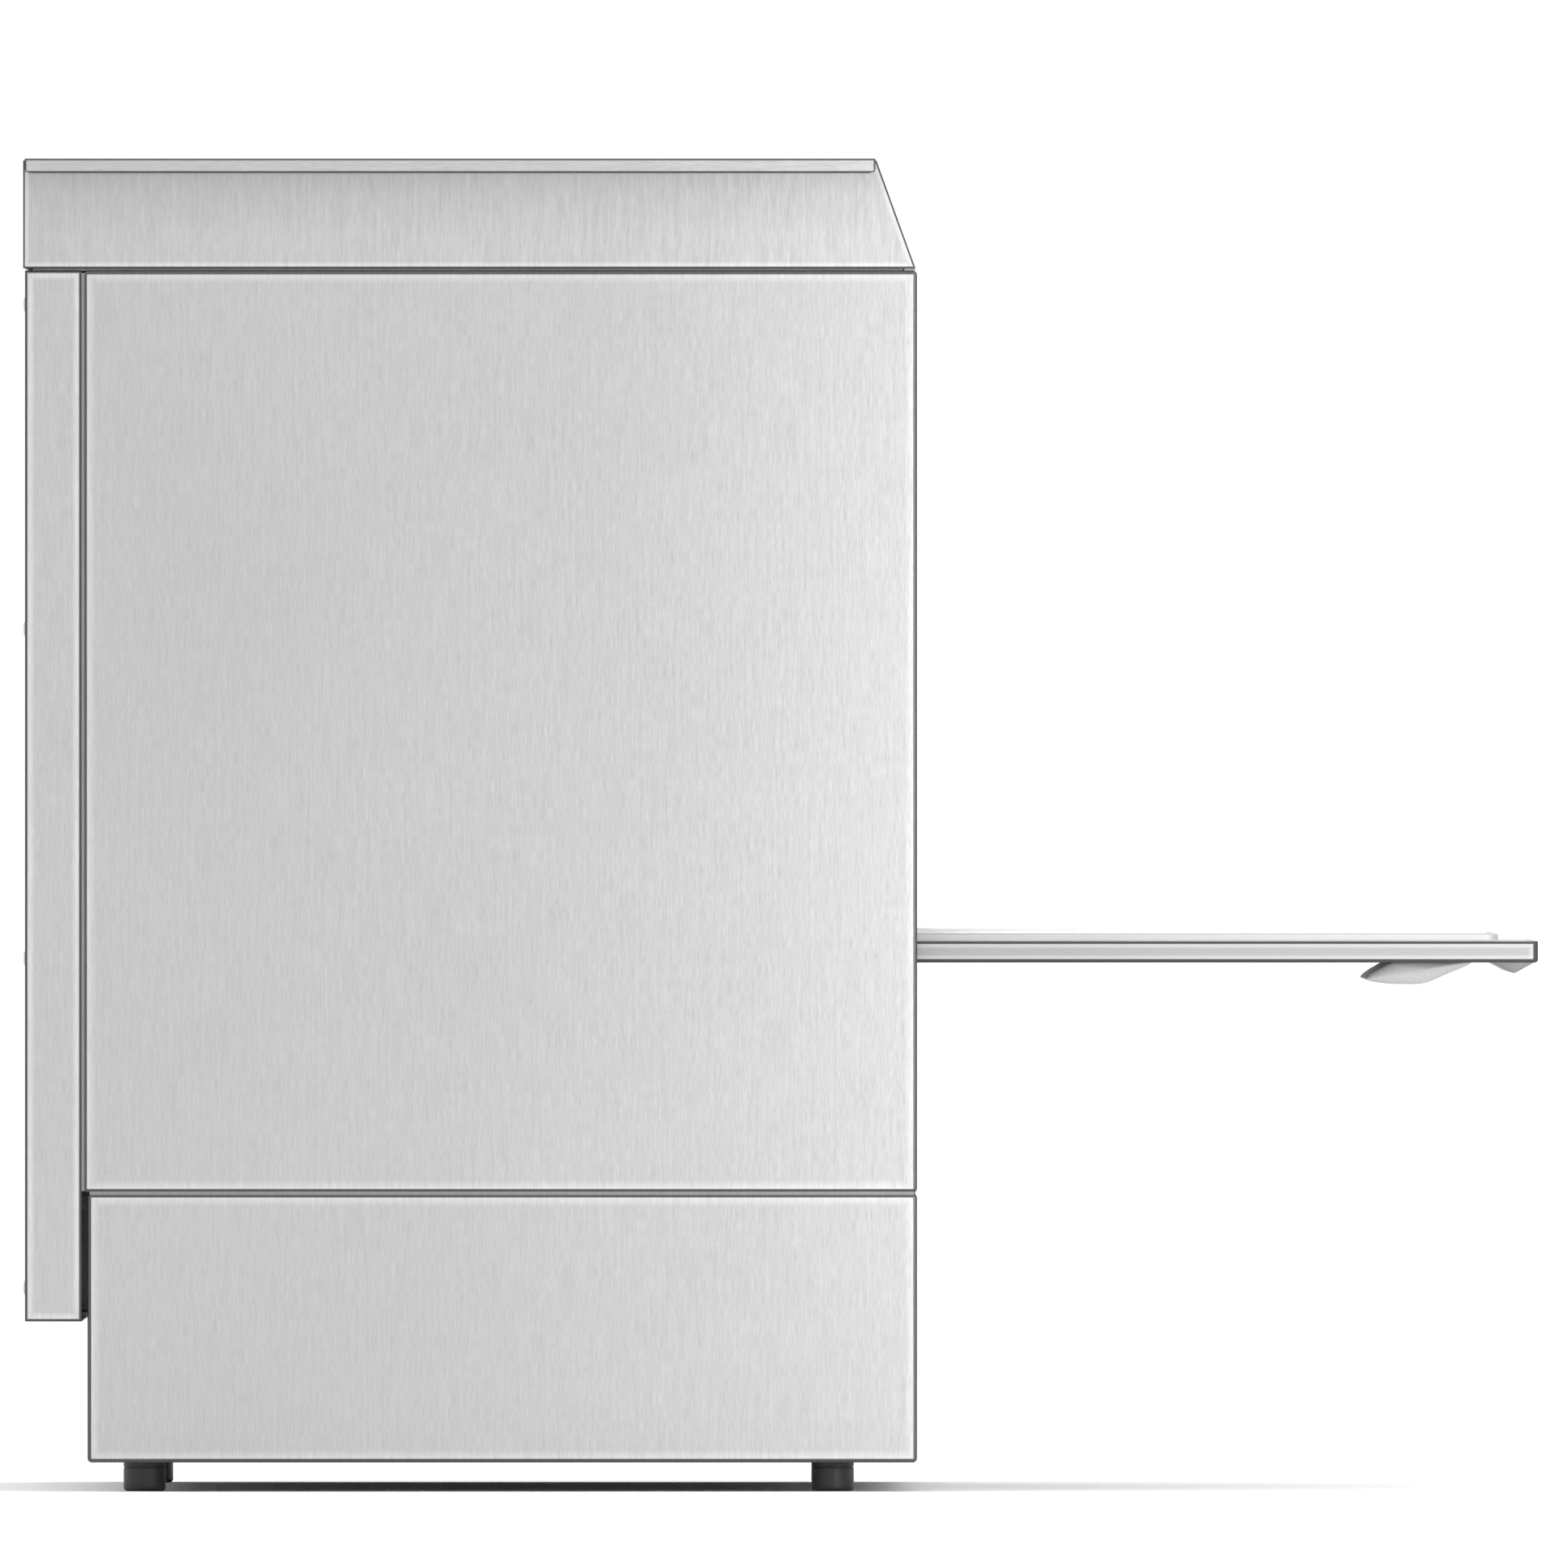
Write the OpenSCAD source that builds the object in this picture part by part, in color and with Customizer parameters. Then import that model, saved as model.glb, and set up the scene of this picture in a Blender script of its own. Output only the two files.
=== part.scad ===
// Undercounter commercial dishwasher: stainless cabinet on four feet, drop-down door with a
// moulded pull, and a 500 mm glass rack that slides out over the open door.
// Millimetres, +Z up. The front faces -Y and the door is drawn open.

/* [Cabinet] */
// Width across the side panels
cabinet_w = 600; // [596:1:604]
// Depth from the rear cover to the front plane
cabinet_d = 570; // [568:1:572]
// Height from the floor to the top of the lid
cabinet_h = 850; // [848:1:854]
// Thickness of the formed side panels
panel_depth = 14; // [13:0.5:15]
// Thickness of the stainless sheet
sheet = 1.2; // [1:0.1:1.4]

/* [Door] */
// How far the open door stands out past the front plane
door_reach = 396; // [392:1:400]
// Thickness of the door's outer pan
door_pan_t = 13.5; // [13:0.1:14]
// Height of the raised inner panel above the pan
door_rise = 5.2; // [4.6:0.1:5.4]

/* [Rack] */
// Side of the square rack
rack_side = 500; // [498:0.5:500]
// Height of the rack
rack_h = 168; // [160:1:172]
// Distance between the rack's upright ribs
rack_pitch = 60.5; // [58:0.5:61]

/* [Controls] */
// Diameter of the push buttons
button_d = 18; // [14:1:20]

/* [Hidden] */
$fn = 48;
front = -(door_reach + cabinet_d) / 2 + door_reach;  // y of the front plane
rear = front + cabinet_d;
half_w = cabinet_w / 2;
inner_w = half_w - panel_depth;           // inside face of the side panels
foot_h = 18.6;
foot_r = 13.5;
foot_x = 255;
foot_ys = [front + 53.8, rear - 77.1];
base_top = 190;
panel_bottom = 190.6;
panel_top = 778.5;
hood_bottom = 780;
corner_r = 2.5;

// Base frame and posts
frame_bottom = 20;
frame_top = 45;
rail_x = [243, 268];
post_x = [266, 286];
front_post_y = front + 61;
rear_post_y = rear - 70;
post = 20;
strip_z = 773;
deck_z = 778.5;

// Wash chamber
chamber_x = 262;
chamber_front = front + 26;
chamber_rear = rear - 40;
chamber_floor = 318;
chamber_top = 772;
mouth_z = 398;
arm_y = front + 274;
arm_reach = 205;

// Door pivot and leaf, drawn open
pivot_y = front + 22;
pivot_z = 359.25;
door_w = inner_w - 2;
door_end = front + 51;
door_tip = front - door_reach;
door_z0 = 337.3;
door_z1 = door_z0 + door_pan_t;
door_z2 = door_z1 + door_rise;
raised_x = 255;
ear_x = 276;
ear_t = 6;
pin_r = 5;

// Rack, drawn home in the chamber
rack_z = 358.6;
rack_front = front + 24;
rack_mid = rack_front + rack_side / 2;
rack_band_z = rack_z + rack_h * 0.646;
rack_window_z = [rack_z + 35, rack_z + 130];
rack_step = 3;

// Control fascia: a plate that leans back from the hood's lower front edge
lean = 19.9;
fascia_len = 73;
button_r = button_d / 2;
button_xs = [-250, -205, -40, 0, 40];
button_up = 36;

// Working parts in the base
well = [-100, 53];
standpipe = [100, 53];
pump_y = 120;
pump_z = 110;
boiler_x = 190;
boiler_z = 115;
boiler_r = 60;
outlet_y = rear - 85;
outlet_z = 88;
pipe_r = 14;
riser_y = rear - 20;

// A block given by its two corners
module block(x, y, z) {
    translate([x[0], y[0], z[0]]) cube([x[1] - x[0], y[1] - y[0], z[1] - z[0]]);
}

// A piece and its mirror image on the other side of the cabinet
module both_sides() {
    children();
    mirror([1, 0, 0]) children();
}

// A rectangle from corner to corner with round corners
module soft_rect(a, b, r) {
    translate([a[0] + r, b[0]]) square([a[1] - a[0] - 2 * r, b[1] - b[0]]);
    translate([a[0], b[0] + r]) square([a[1] - a[0], b[1] - b[0] - 2 * r]);
    for (x = [a[0] + r, a[1] - r], y = [b[0] + r, b[1] - r]) translate([x, y]) circle(r);
}

// Carries a (Y, Z) outline along X from x0 for a length of w
module along_x(x0, w) {
    translate([x0, 0, 0]) rotate([90, 0, 90]) linear_extrude(w) children();
}

// A pan folded from sheet, open towards the cabinet: skin at x_out, flanges back by depth
module side_pan(y, z) {
    difference() {
        along_x(inner_w, panel_depth) soft_rect(y, z, corner_r);
        along_x(inner_w - 1, panel_depth + 1 - sheet)
            soft_rect([y[0] + sheet, y[1] - sheet], [z[0] + sheet, z[1] - sheet], corner_r - sheet);
    }
}

// A round bar from one point to another
module strut(a, b, r) {
    d = b - a;
    translate(a) rotate([0, acos(d[2] / norm(d)), atan2(d[1], d[0])]) cylinder(h = norm(d), r = r);
}

// A pipe through a list of points, with a brazed elbow at each turn
module pipe_run(points, r) {
    for (i = [0 : len(points) - 2]) strut(points[i], points[i + 1], r);
    if (len(points) > 2) for (i = [1 : len(points) - 2]) translate(points[i]) sphere(r + 1.5);
}

// Places a piece on the leaning fascia: local Z runs up the slope and local -Y faces out
module on_fascia() {
    translate([0, front + 1, hood_bottom]) rotate([-lean, 0, 0]) children();
}

// A disc whose axis runs along local Y, from y0 inward
module disc_in(x, up, r, y0, t) {
    translate([x, y0 + t, up]) rotate([90, 0, 0]) cylinder(h = t, r = r);
}

module base_frame() color("silver") {
    wall = 2;
    channels = [front + 41, rear - 90];
    channel_d = 40;
    difference() {
        union() {
            both_sides() block(rail_x, [front + 10, rear - 45], [frame_bottom, frame_top]);
            for (y = channels) block([-inner_w, inner_w], [y, y + channel_d], [frame_bottom, frame_top]);
            both_sides() for (y = [front_post_y, rear_post_y])
                block(post_x, [y, y + post], [frame_top, strip_z]);
            both_sides() block(post_x, [front_post_y, rear_post_y + post], [strip_z, deck_z]);
            for (y = [front_post_y, rear_post_y])
                block([-post_x[1], post_x[1]], [y, y + post], [strip_z, deck_z]);
        }
        both_sides() block([rail_x[0] + wall, rail_x[1] - wall], [front + 9, rear - 44],
            [frame_bottom + wall, frame_top - wall]);
        for (y = channels) block([-inner_w - 1, inner_w + 1], [y + wall, y + channel_d - wall],
            [frame_bottom + wall, frame_top - wall]);
        both_sides() for (y = [front_post_y, rear_post_y])
            block([post_x[0] + wall, post_x[1] - wall], [y + wall, y + post - wall],
                [frame_top + 1, strip_z - 1]);
        for (x = [-foot_x, foot_x], y = foot_ys)
            translate([x, y, frame_bottom - 1]) cylinder(h = 30, r = 5.3);
    }
}

module floor_pan() color("silver") {
    lip = 14;
    z0 = frame_top;
    difference() {
        union() {
            block([-inner_w + 1, inner_w - 1], [front + 7, rear - 86], [z0, z0 + sheet]);
            for (y = [front + 7, rear - 86 - sheet])
                block([-inner_w + 1, inner_w - 1], [y, y + sheet], [z0, z0 + lip]);
        }
        both_sides() block([post_x[0] - 1, post_x[1] + 1],
            [front_post_y - 1, front_post_y + post + 1], [z0 - 1, z0 + lip]);
        for (x = [-foot_x, foot_x]) translate([x, foot_ys[0], z0 - 1]) cylinder(h = 4, r = 6);
    }
}

module rear_service_plate() color("silver") {
    difference() {
        block([-inner_w + 6, inner_w - 6], [outlet_y, outlet_y + sheet], [frame_top, 172]);
        for (x = [-200, -100, 215])
            translate([x, outlet_y - 1, outlet_z]) rotate([-90, 0, 0]) cylinder(h = 4, r = 9);
    }
}

module side_panel_right() color("gainsboro") side_pan([front, rear - 38.3], [panel_bottom, panel_top]);

module side_panel_left() color("gainsboro")
    mirror([1, 0, 0]) side_pan([front, rear - 38.3], [panel_bottom, panel_top]);

module base_panel_right() color("gainsboro") side_pan([front, rear - 41], [foot_h, base_top]);

module base_panel_left() color("gainsboro")
    mirror([1, 0, 0]) side_pan([front, rear - 41], [foot_h, base_top]);

module lower_front_panel() color("gainsboro") {
    x = inner_w - 1;
    slot_w = 40;
    difference() {
        union() {
            block([-x, x], [front + sheet, front + 2 * sheet], [foot_h + 2, base_top - 1]);
            block([-x, x], [front + sheet, front + 6], [base_top - 1 - sheet, base_top - 1]);
            block([-x, x], [front + sheet, front + 6], [foot_h + 2, foot_h + 2 + sheet]);
        }
        for (i = [-4 : 4], j = [0 : 4])
            block([i * 52 - slot_w / 2, i * 52 + slot_w / 2], [front, front + 4],
                [60 + j * 12, 64 + j * 12]);
        for (s = [-1, 1], z = [40, 168])
            translate([s * (x - 16), front, z]) rotate([-90, 0, 0]) cylinder(h = 5, r = 2.3);
    }
}

module front_apron() color("gainsboro") {
    x = inner_w - 1;
    block([-x, x], [front + sheet, front + 2 * sheet], [base_top + 1, 327.5]);
    block([-x, x], [front + 2 * sheet, front + 27], [319.8, 321]);
    block([-x, x], [front + 2 * sheet, front + 14], [base_top + 1, base_top + 1 + sheet]);
}

module rear_cover() color("gainsboro") {
    y0 = rear - 37.3;
    y1 = rear - sheet;
    z = [108.5, panel_top];
    difference() {
        translate([0, y1, 0]) rotate([90, 0, 0]) linear_extrude(y1 - y0)
            soft_rect([-half_w, half_w], z, corner_r);
        translate([0, y1 - sheet, 0]) rotate([90, 0, 0]) linear_extrude(y1 - y0)
            soft_rect([-half_w + sheet, half_w - sheet], [z[0] + sheet, z[1] - sheet],
                corner_r - sheet);
        for (p = cover_screw_places())
            translate([p[0], y1 - 3, p[1]]) rotate([-90, 0, 0]) cylinder(h = 5, r = 2.3);
        for (i = [-6 : 6], j = [0 : 7])
            block([i * 30 - 10, i * 30 + 10], [y1 - 3, y1 + 1], [640 + j * 12, 644 + j * 12]);
        translate([0, riser_y, z[1] - 3]) cylinder(h = 5, r = 16);
        translate([boiler_x, riser_y, z[1] - 3]) cylinder(h = 5, r = 9);
    }
}

function cover_screw_places() = [for (s = [-1, 1], z = [130, 340, 550, 757]) [s * 280, z]];

module cover_screw() {
    rotate([-90, 0, 0]) cylinder(h = sheet, r = 4.5);
    translate([0, -8, 0]) rotate([-90, 0, 0]) cylinder(h = 8.2, r = 2);
}

module cover_screws() color("darkgray") {
    for (p = cover_screw_places()) translate([p[0], rear - sheet, p[1]]) cover_screw();
    for (s = [-1, 1], z = [40, 168])
        translate([s * (inner_w - 17), front + sheet, z]) rotate([0, 0, 180]) cover_screw();
}

// Side outline of the hood, shrunk by t all round
module hood_outline(t) {
    slope = tan(lean);
    y0 = front + 1 + t / cos(lean);
    z1 = cabinet_h - sheet - t;
    polygon([[y0 + t * slope, hood_bottom + t], [rear - t, hood_bottom + t], [rear - t, z1],
        [y0 + (z1 - hood_bottom) * slope, z1]]);
}

module hood() color("gainsboro") {
    w = half_w - 1.2;
    difference() {
        along_x(-w, 2 * w) hood_outline(0);
        along_x(-w + sheet, 2 * (w - sheet)) hood_outline(sheet);
        // the open underside and the fascia opening
        block([-w + 20, w - 20], [front + 8, rear - 4], [hood_bottom - 1, hood_bottom + 4]);
        on_fascia() block([-w + 18, w - 18], [-2, 4], [8, fascia_len - 8]);
    }
}

module top_lid() color("gainsboro") {
    drop = 9.3;
    y = [front + 26.6, rear - 1];
    z1 = cabinet_h;
    block([-half_w, half_w], y, [z1 - sheet, z1]);
    both_sides() along_x(half_w - sheet, sheet) {
        translate([y[0], z1 - drop + 4]) square([y[1] - y[0], drop - 4]);
        translate([y[0] + 4, z1 - drop]) square([y[1] - y[0] - 8, drop]);
        for (c = [y[0] + 4, y[1] - 4]) translate([c, z1 - drop + 4]) circle(4);
    }
}

module top_deck() color("silver") {
    difference() {
        block([-inner_w + 1, inner_w - 1], [front + 9, rear - 6], [deck_z, hood_bottom]);
        translate([0, arm_y, deck_z - 1]) cylinder(h = 4, r = 18);
        translate([0, riser_y, deck_z - 1]) cylinder(h = 4, r = 16);
        translate([boiler_x, riser_y, deck_z - 1]) cylinder(h = 4, r = 9);
    }
}

module control_fascia() color("dimgray") on_fascia() {
    w = half_w - 12;
    difference() {
        block([-w, w], [1.5, 3.5], [4, fascia_len - 4]);
        for (x = button_xs) disc_in(x, button_up, button_r + 0.5, 0, 5);
        block([90, 210], [0, 5], [18, 54]);
    }
}

module display_window() color("black") on_fascia() block([90.3, 209.7], [1.3, 3.5], [18.3, 53.7]);

module control_board() color("darkgreen") on_fascia() {
    block([-265, 225], [14, 16], [10, 62]);
    for (x = button_xs) block([x - 4, x + 4], [11, 14], [button_up - 4, button_up + 4]);
    block([95, 205], [4, 14], [20, 52]);
}

// A button cap with a stepped front edge, sunk in the fascia, and a stem that faces its switch
module push_button(x) on_fascia() {
    disc_in(x, button_up, button_r, 0.9, 5.1);
    disc_in(x, button_up, button_r - 1.2, 0.2, 0.7);
    disc_in(x, button_up, 3, 6, 2.2);
}

module power_button() color("seagreen") push_button(button_xs[0]);
module start_button() color("whitesmoke") push_button(button_xs[1]);
module short_button() color("whitesmoke") push_button(button_xs[2]);
module normal_button() color("whitesmoke") push_button(button_xs[3]);
module long_button() color("whitesmoke") push_button(button_xs[4]);

// Side outline of the chamber, clear of the arc that the door's inner end sweeps
module chamber_outline(t) {
    lip = front + 30;
    y1 = chamber_rear - t;
    polygon([[lip - t, chamber_floor + t], [y1, chamber_floor + t], [y1, chamber_top - t],
        [chamber_front - t, chamber_top - t], [chamber_front - t, mouth_z], [front + 60, mouth_z],
        [front + 60, 321], [lip - t, 321]]);
}

module wash_chamber() color("lightsteelblue") {
    x = chamber_x + sheet;
    difference() {
        union() {
            difference() {
                along_x(-x, 2 * x) chamber_outline(0);
                along_x(-chamber_x, 2 * chamber_x) chamber_outline(sheet);
                // the mouth at the front
                block([-chamber_x, chamber_x], [chamber_front - 5, front + 70],
                    [320, chamber_top - sheet]);
            }
            both_sides() block([chamber_x, 283], [chamber_front, chamber_front + sheet],
                [mouth_z + 1, chamber_top]);
            block([-chamber_x, chamber_x], [chamber_front, chamber_front + sheet], [756, chamber_top]);
        }
        block([-198, 198], [-18, 388], [chamber_floor - 1, chamber_floor + 3]);
        translate([0, arm_y, chamber_top - 3]) cylinder(h = 5, r = 14.5);
    }
}

module wash_tank() color("lightsteelblue") {
    y = [-20, 390];
    floor_z = 232;
    well_z = 196;
    difference() {
        union() {
            block([-200 - sheet, 200 + sheet], [y[0] - sheet, y[1] + sheet], [floor_z, chamber_floor]);
            translate([well[0], well[1], well_z]) cylinder(h = 40, r = 60 + sheet);
        }
        block([-200, 200], y, [floor_z + sheet, chamber_floor + 1]);
        translate([well[0], well[1], well_z + sheet]) cylinder(h = 50, r = 60);
        translate([well[0], well[1], well_z - 1]) cylinder(h = 4, r = 13);
        translate([0, arm_y, floor_z - 1]) cylinder(h = 4, r = 14.5);
        translate([standpipe[0], standpipe[1], floor_z - 1]) cylinder(h = 4, r = 10);
        for (x = [60, 150]) translate([x, y[1] - 1, 252]) rotate([-90, 0, 0]) cylinder(h = 4, r = 5);
    }
}

module tank_strainers() color("lightsteelblue") {
    z0 = chamber_floor + sheet;
    slot = [42, 4];
    both_sides() difference() {
        block([0.6, 206], [-27, 396], [z0, z0 + sheet]);
        translate([0, arm_y, z0 - 1]) cylinder(h = 4, r = 17);
        translate([standpipe[0], standpipe[1], z0 - 1]) cylinder(h = 4, r = 53);
        for (i = [0 : 2], j = [0 : 25]) {
            y = 118 + j * 10;
            if (j > 11 || i > 0)
                block([20 + i * 60, 20 + i * 60 + slot[0]], [y, y + slot[1]], [z0 - 1, z0 + 3]);
        }
    }
}

module rack_rails() color("silver") both_sides() {
    y = [front + 61, chamber_rear - sheet - 2];
    block([238, chamber_x], y, [355.8, 358.2]);
    block([259.6, chamber_x], y, [358.2, 385]);
    block([238, 240.4], y, [346, 355.8]);
}

module door_gasket() color("black") {
    y = [front + 14, chamber_front];
    both_sides() block([266, 276], y, [401, 768]);
    block([-266, 266], y, [758, 768]);
}

// The fixed spindle that carries a wash arm and a rinse arm: a feed tube, then a slim pin with
// a thrust collar between the arms and a retaining cap
module spindle_pin() {
    translate([0, 0, -0.5]) cylinder(h = 29.5, r = 6);
    translate([0, 0, 18.2]) cylinder(h = 2, r = 9);
    translate([0, 0, 28.2]) cylinder(h = 1.6, r = 9);
}

module lower_spindle() color("silver") translate([0, arm_y, 0]) {
    translate([0, 0, 208]) cylinder(h = 119, r = 14);
    translate([0, 0, 327]) spindle_pin();
}

module upper_spindle() color("silver") translate([0, arm_y, 0]) {
    translate([0, 0, 760]) cylinder(h = 38, r = 14);
    translate([0, 0, 760]) mirror([0, 0, 1]) spindle_pin();
}

// A pressed wash arm: flat hollow bar with round ends, a hub and a row of jets
module wash_arm() difference() {
    union() {
        cylinder(h = 16.6, r = 22);
        translate([-arm_reach + 18, -18, 2]) cube([2 * arm_reach - 36, 36, 12]);
        for (s = [-1, 1]) translate([s * (arm_reach - 18), 0, 2]) cylinder(h = 12, r = 18);
        for (s = [-1, 1], i = [1 : 5]) translate([s * (i * 35 + 8), 0, 13]) cylinder(h = 3.4, r = 5);
    }
    translate([0, 0, -1]) cylinder(h = 20, r = 6.06);
    for (s = [-1, 1], i = [1 : 5]) translate([s * (i * 35 + 8), 0, 12]) cylinder(h = 6, r = 2.5);
}

// A rinse arm: a thin round tube through a hub, with four jets
module rinse_arm() difference() {
    union() {
        cylinder(h = 7, r = 12);
        strut([-arm_reach + 6, 0, 3.5], [arm_reach - 6, 0, 3.5], 3.4);
        for (s = [-1, 1], i = [1 : 4]) translate([s * i * 45, 0, 3.5]) cylinder(h = 3.5, r = 3);
    }
    translate([0, 0, -1]) cylinder(h = 20, r = 6.06);
}

module lower_wash_arm() color("silver") translate([0, arm_y, 328]) wash_arm();
module lower_rinse_arm() color("silver") translate([0, arm_y, 347.6]) rinse_arm();
module upper_wash_arm() color("silver") translate([0, arm_y, 759]) mirror([0, 0, 1]) wash_arm();
module upper_rinse_arm() color("silver") translate([0, arm_y, 739.4]) mirror([0, 0, 1]) rinse_arm();

module filter_basket() color("gainsboro") translate([well[0], well[1], 0]) difference() {
    union() {
        translate([0, 0, 205]) cylinder(h = 116, r = 48);
        translate([0, 0, 320.6]) cylinder(h = 1.6, r = 57);
        block([-30, 30], [-5, 5], [321, 326]);
    }
    translate([0, 0, 207]) cylinder(h = 112, r = 46);
    for (a = [0 : 30 : 150], z = [220 : 24 : 300])
        rotate([0, 0, a]) block([-60, 60], [-6, 6], [z, z + 14]);
}

module overflow_pipe() color("gainsboro") translate([standpipe[0], standpipe[1], 0]) difference() {
    union() {
        translate([0, 0, 233.4]) cylinder(h = 86, r = 14);
        translate([0, 0, 320.6]) cylinder(h = 1.6, r = 57);
        translate([0, 0, 318]) cylinder(h = 8, r = 18);
    }
    translate([0, 0, 230]) cylinder(h = 86, r = 11);
    block([-20, 20], [-4, 4], [300, 310]);
}

module tank_heater() color("dimgray") {
    x = [60, 150];
    pipe_run([[x[0], 404, 252], [x[0], 250, 252], [x[1], 250, 252], [x[1], 404, 252]], 4.2);
    block([x[0] - 14, x[1] + 14], [391.4, 394], [240, 264]);
}

module wash_pump() color("dimgray") {
    translate([-70, pump_y, pump_z]) rotate([0, 90, 0]) cylinder(h = 50, r = 54);
    translate([-20, pump_y, pump_z]) rotate([0, 90, 0]) cylinder(h = 8, r = 17);
    translate([-45, pump_y, pump_z]) cylinder(h = 66, r = 18);
    block([-66, -24], [pump_y - 30, pump_y + 30], [frame_top + sheet, pump_z - 40]);
}

module pump_motor() color("slategray") {
    translate([-230, pump_y, pump_z]) rotate([0, 90, 0]) cylinder(h = 160, r = 46);
    translate([-236, pump_y, pump_z]) rotate([0, 90, 0]) cylinder(h = 6, r = 42);
    for (i = [0 : 5]) translate([-210 + i * 20, pump_y, pump_z]) rotate([0, 90, 0]) cylinder(h = 6, r = 50);
    block([-190, -110], [pump_y - 26, pump_y + 26], [frame_top + sheet, pump_z - 38]);
}

module suction_hose() color("black")
    pipe_run([[well[0], well[1], 195.8], [well[0], well[1], 178], [4, well[1], 178], [4, well[1], pump_z],
        [4, pump_y, pump_z], [-11.8, pump_y, pump_z]], 12.5);

module wash_pipes() color("silver") {
    z = 192;
    pipe_run([[-45, pump_y, 176.2], [-45, pump_y, z], [0, arm_y, z], [0, riser_y, z],
        [0, riser_y, 815], [0, arm_y, 815], [0, arm_y, 798.2]], pipe_r);
    translate([0, arm_y, z]) cylinder(h = 207.8 - z, r = pipe_r);
}

module boiler() color("silver") {
    difference() {
        translate([boiler_x, 60, boiler_z]) rotate([-90, 0, 0]) cylinder(h = 300, r = boiler_r);
        translate([boiler_x, 62, boiler_z]) rotate([-90, 0, 0]) cylinder(h = 296, r = boiler_r - 2);
        for (y = [arm_y, 335]) translate([boiler_x, y, boiler_z]) cylinder(h = boiler_r + 2, r = 4);
    }
    translate([boiler_x, 44, boiler_z]) rotate([-90, 0, 0]) cylinder(h = 16, r = 34);
    for (a = [0, 120, 240]) translate([boiler_x + 18 * cos(a), 26, boiler_z + 18 * sin(a)])
        rotate([-90, 0, 0]) cylinder(h = 18, r = 4);
    for (y = [110, 290]) block([boiler_x - 35, boiler_x + 35], [y, y + 20],
        [frame_top + sheet, boiler_z - 40]);
}

module rinse_pipes() color("silver") {
    r = 6;
    top = boiler_z + boiler_r + 0.2;
    pipe_run([[boiler_x, 335, top], [boiler_x, 335, 206], [boiler_x, riser_y, 206],
        [boiler_x, riser_y, 805], [boiler_x, arm_y, 805], [boiler_x, arm_y, 788],
        [pipe_r + 0.2, arm_y, 788]], r);
    pipe_run([[boiler_x, arm_y, top], [boiler_x, arm_y, 216], [pipe_r + 0.2, arm_y, 216]], r);
}

module drain_pump() color("dimgray") {
    translate([-200, 330, frame_top + sheet]) cylinder(h = 74, r = 34);
    translate([-200, 330, 120]) cylinder(h = 30, r = 24);
}

module drain_hose() color("black") {
    r = 10;
    z = 66;
    pipe_run([[standpipe[0], standpipe[1], 231.8], [standpipe[0], standpipe[1], z],
        [-258, standpipe[1], z], [-258, 330, z], [-234.8, 330, z]], r);
    strut([-200, 364.5, outlet_z], [-200, outlet_y - 0.2, outlet_z], r);
}

module inlet_valve() color("royalblue") {
    block([-118, -82], [352, outlet_y - 0.2], [70, 106]);
    translate([-100, 375, 106]) cylinder(h = 26, r = 15);
}

module inlet_hose() color("gray") {
    turn = [-100, 300, outlet_z];
    strut([turn[0], 351.8, turn[2]], turn, 7);
    strut(turn, [boiler_x - 61, turn[1], turn[2]], 7);
    block([turn[0] - 9, turn[0] + 9], [turn[1] - 9, turn[1] + 9], [turn[2] - 9, turn[2] + 9]);
}

module dosing_pumps() color("gray") for (x = [-200, -130]) {
    translate([x, front + 25, 92]) rotate([-90, 0, 0]) cylinder(h = 22, r = 26);
    translate([x, front + 47, 92]) rotate([-90, 0, 0]) cylinder(h = 42, r = 18);
    block([x - 22, x + 22], [front + 47, front + 80], [frame_top + sheet, 76]);
}

module terminal_box() color("lightgray") {
    block([10, 75], [front + 14, front + 100], [frame_top + sheet, 140]);
    block([6, 79], [front + 12, front + 102], [140, 144]);
}

// Fittings that a stranger connects: water inlet, drain outlet and cable gland
module pipe_fittings() color("silver") {
    y0 = outlet_y + sheet;
    at_rear(-100) cylinder(h = 26, r = 13.2);
    at_rear(-100) cylinder(h = 6, r = 16, $fn = 6);
    at_rear(-200) cylinder(h = 34, r = 14);
    at_rear(-200) cylinder(h = 5, r = 19);
    difference() {
        union() {
            at_rear(215) cylinder(h = 7, r = 14, $fn = 6);
            at_rear(215) cylinder(h = 22, r = 11);
        }
        at_rear(215) translate([0, 0, -1]) cylinder(h = 25, r = 6.5);
    }
}

// Stands a fitting on the rear service plate at x, its axis towards the rear
module at_rear(x) translate([x, outlet_y + sheet, outlet_z]) rotate([-90, 0, 0]) children();

module hinge_brackets() color("silver") both_sides() difference() {
    union() {
        block([inner_w, inner_w + 3], [pivot_y, front_post_y + post], [345, 373]);
        translate([inner_w, pivot_y, pivot_z]) rotate([0, 90, 0]) cylinder(h = 3, r = 13);
    }
    translate([inner_w - 1, pivot_y, pivot_z]) rotate([0, 90, 0]) cylinder(h = 5, r = pin_r + 0.05);
}

// Close-wound extension springs: each coil is a bead on the outline that is turned round
module counter_springs() color("gray") {
    wire = 5;
    coils = 24;
    both_sides() translate([273, 8, 0]) {
        translate([0, 0, 120]) rotate_extrude() {
            translate([1, 0]) square([3, coils * wire]);
            for (i = [0 : coils - 1]) translate([4, (i + 0.5) * wire]) circle(wire / 2 - 0.05, $fn = 16);
        }
        translate([0, 0, frame_top + sheet]) cylinder(h = 75, r = 2.5);
        translate([0, 0, 239]) cylinder(h = 70, r = 2.5);
    }
}

module door_switch() color("black") {
    block([150, 190], [front + 30, front + 48], [hood_bottom, hood_bottom + 14]);
    block([165, 175], [front + 48, front + 56], [hood_bottom + 4, hood_bottom + 10]);
}

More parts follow.
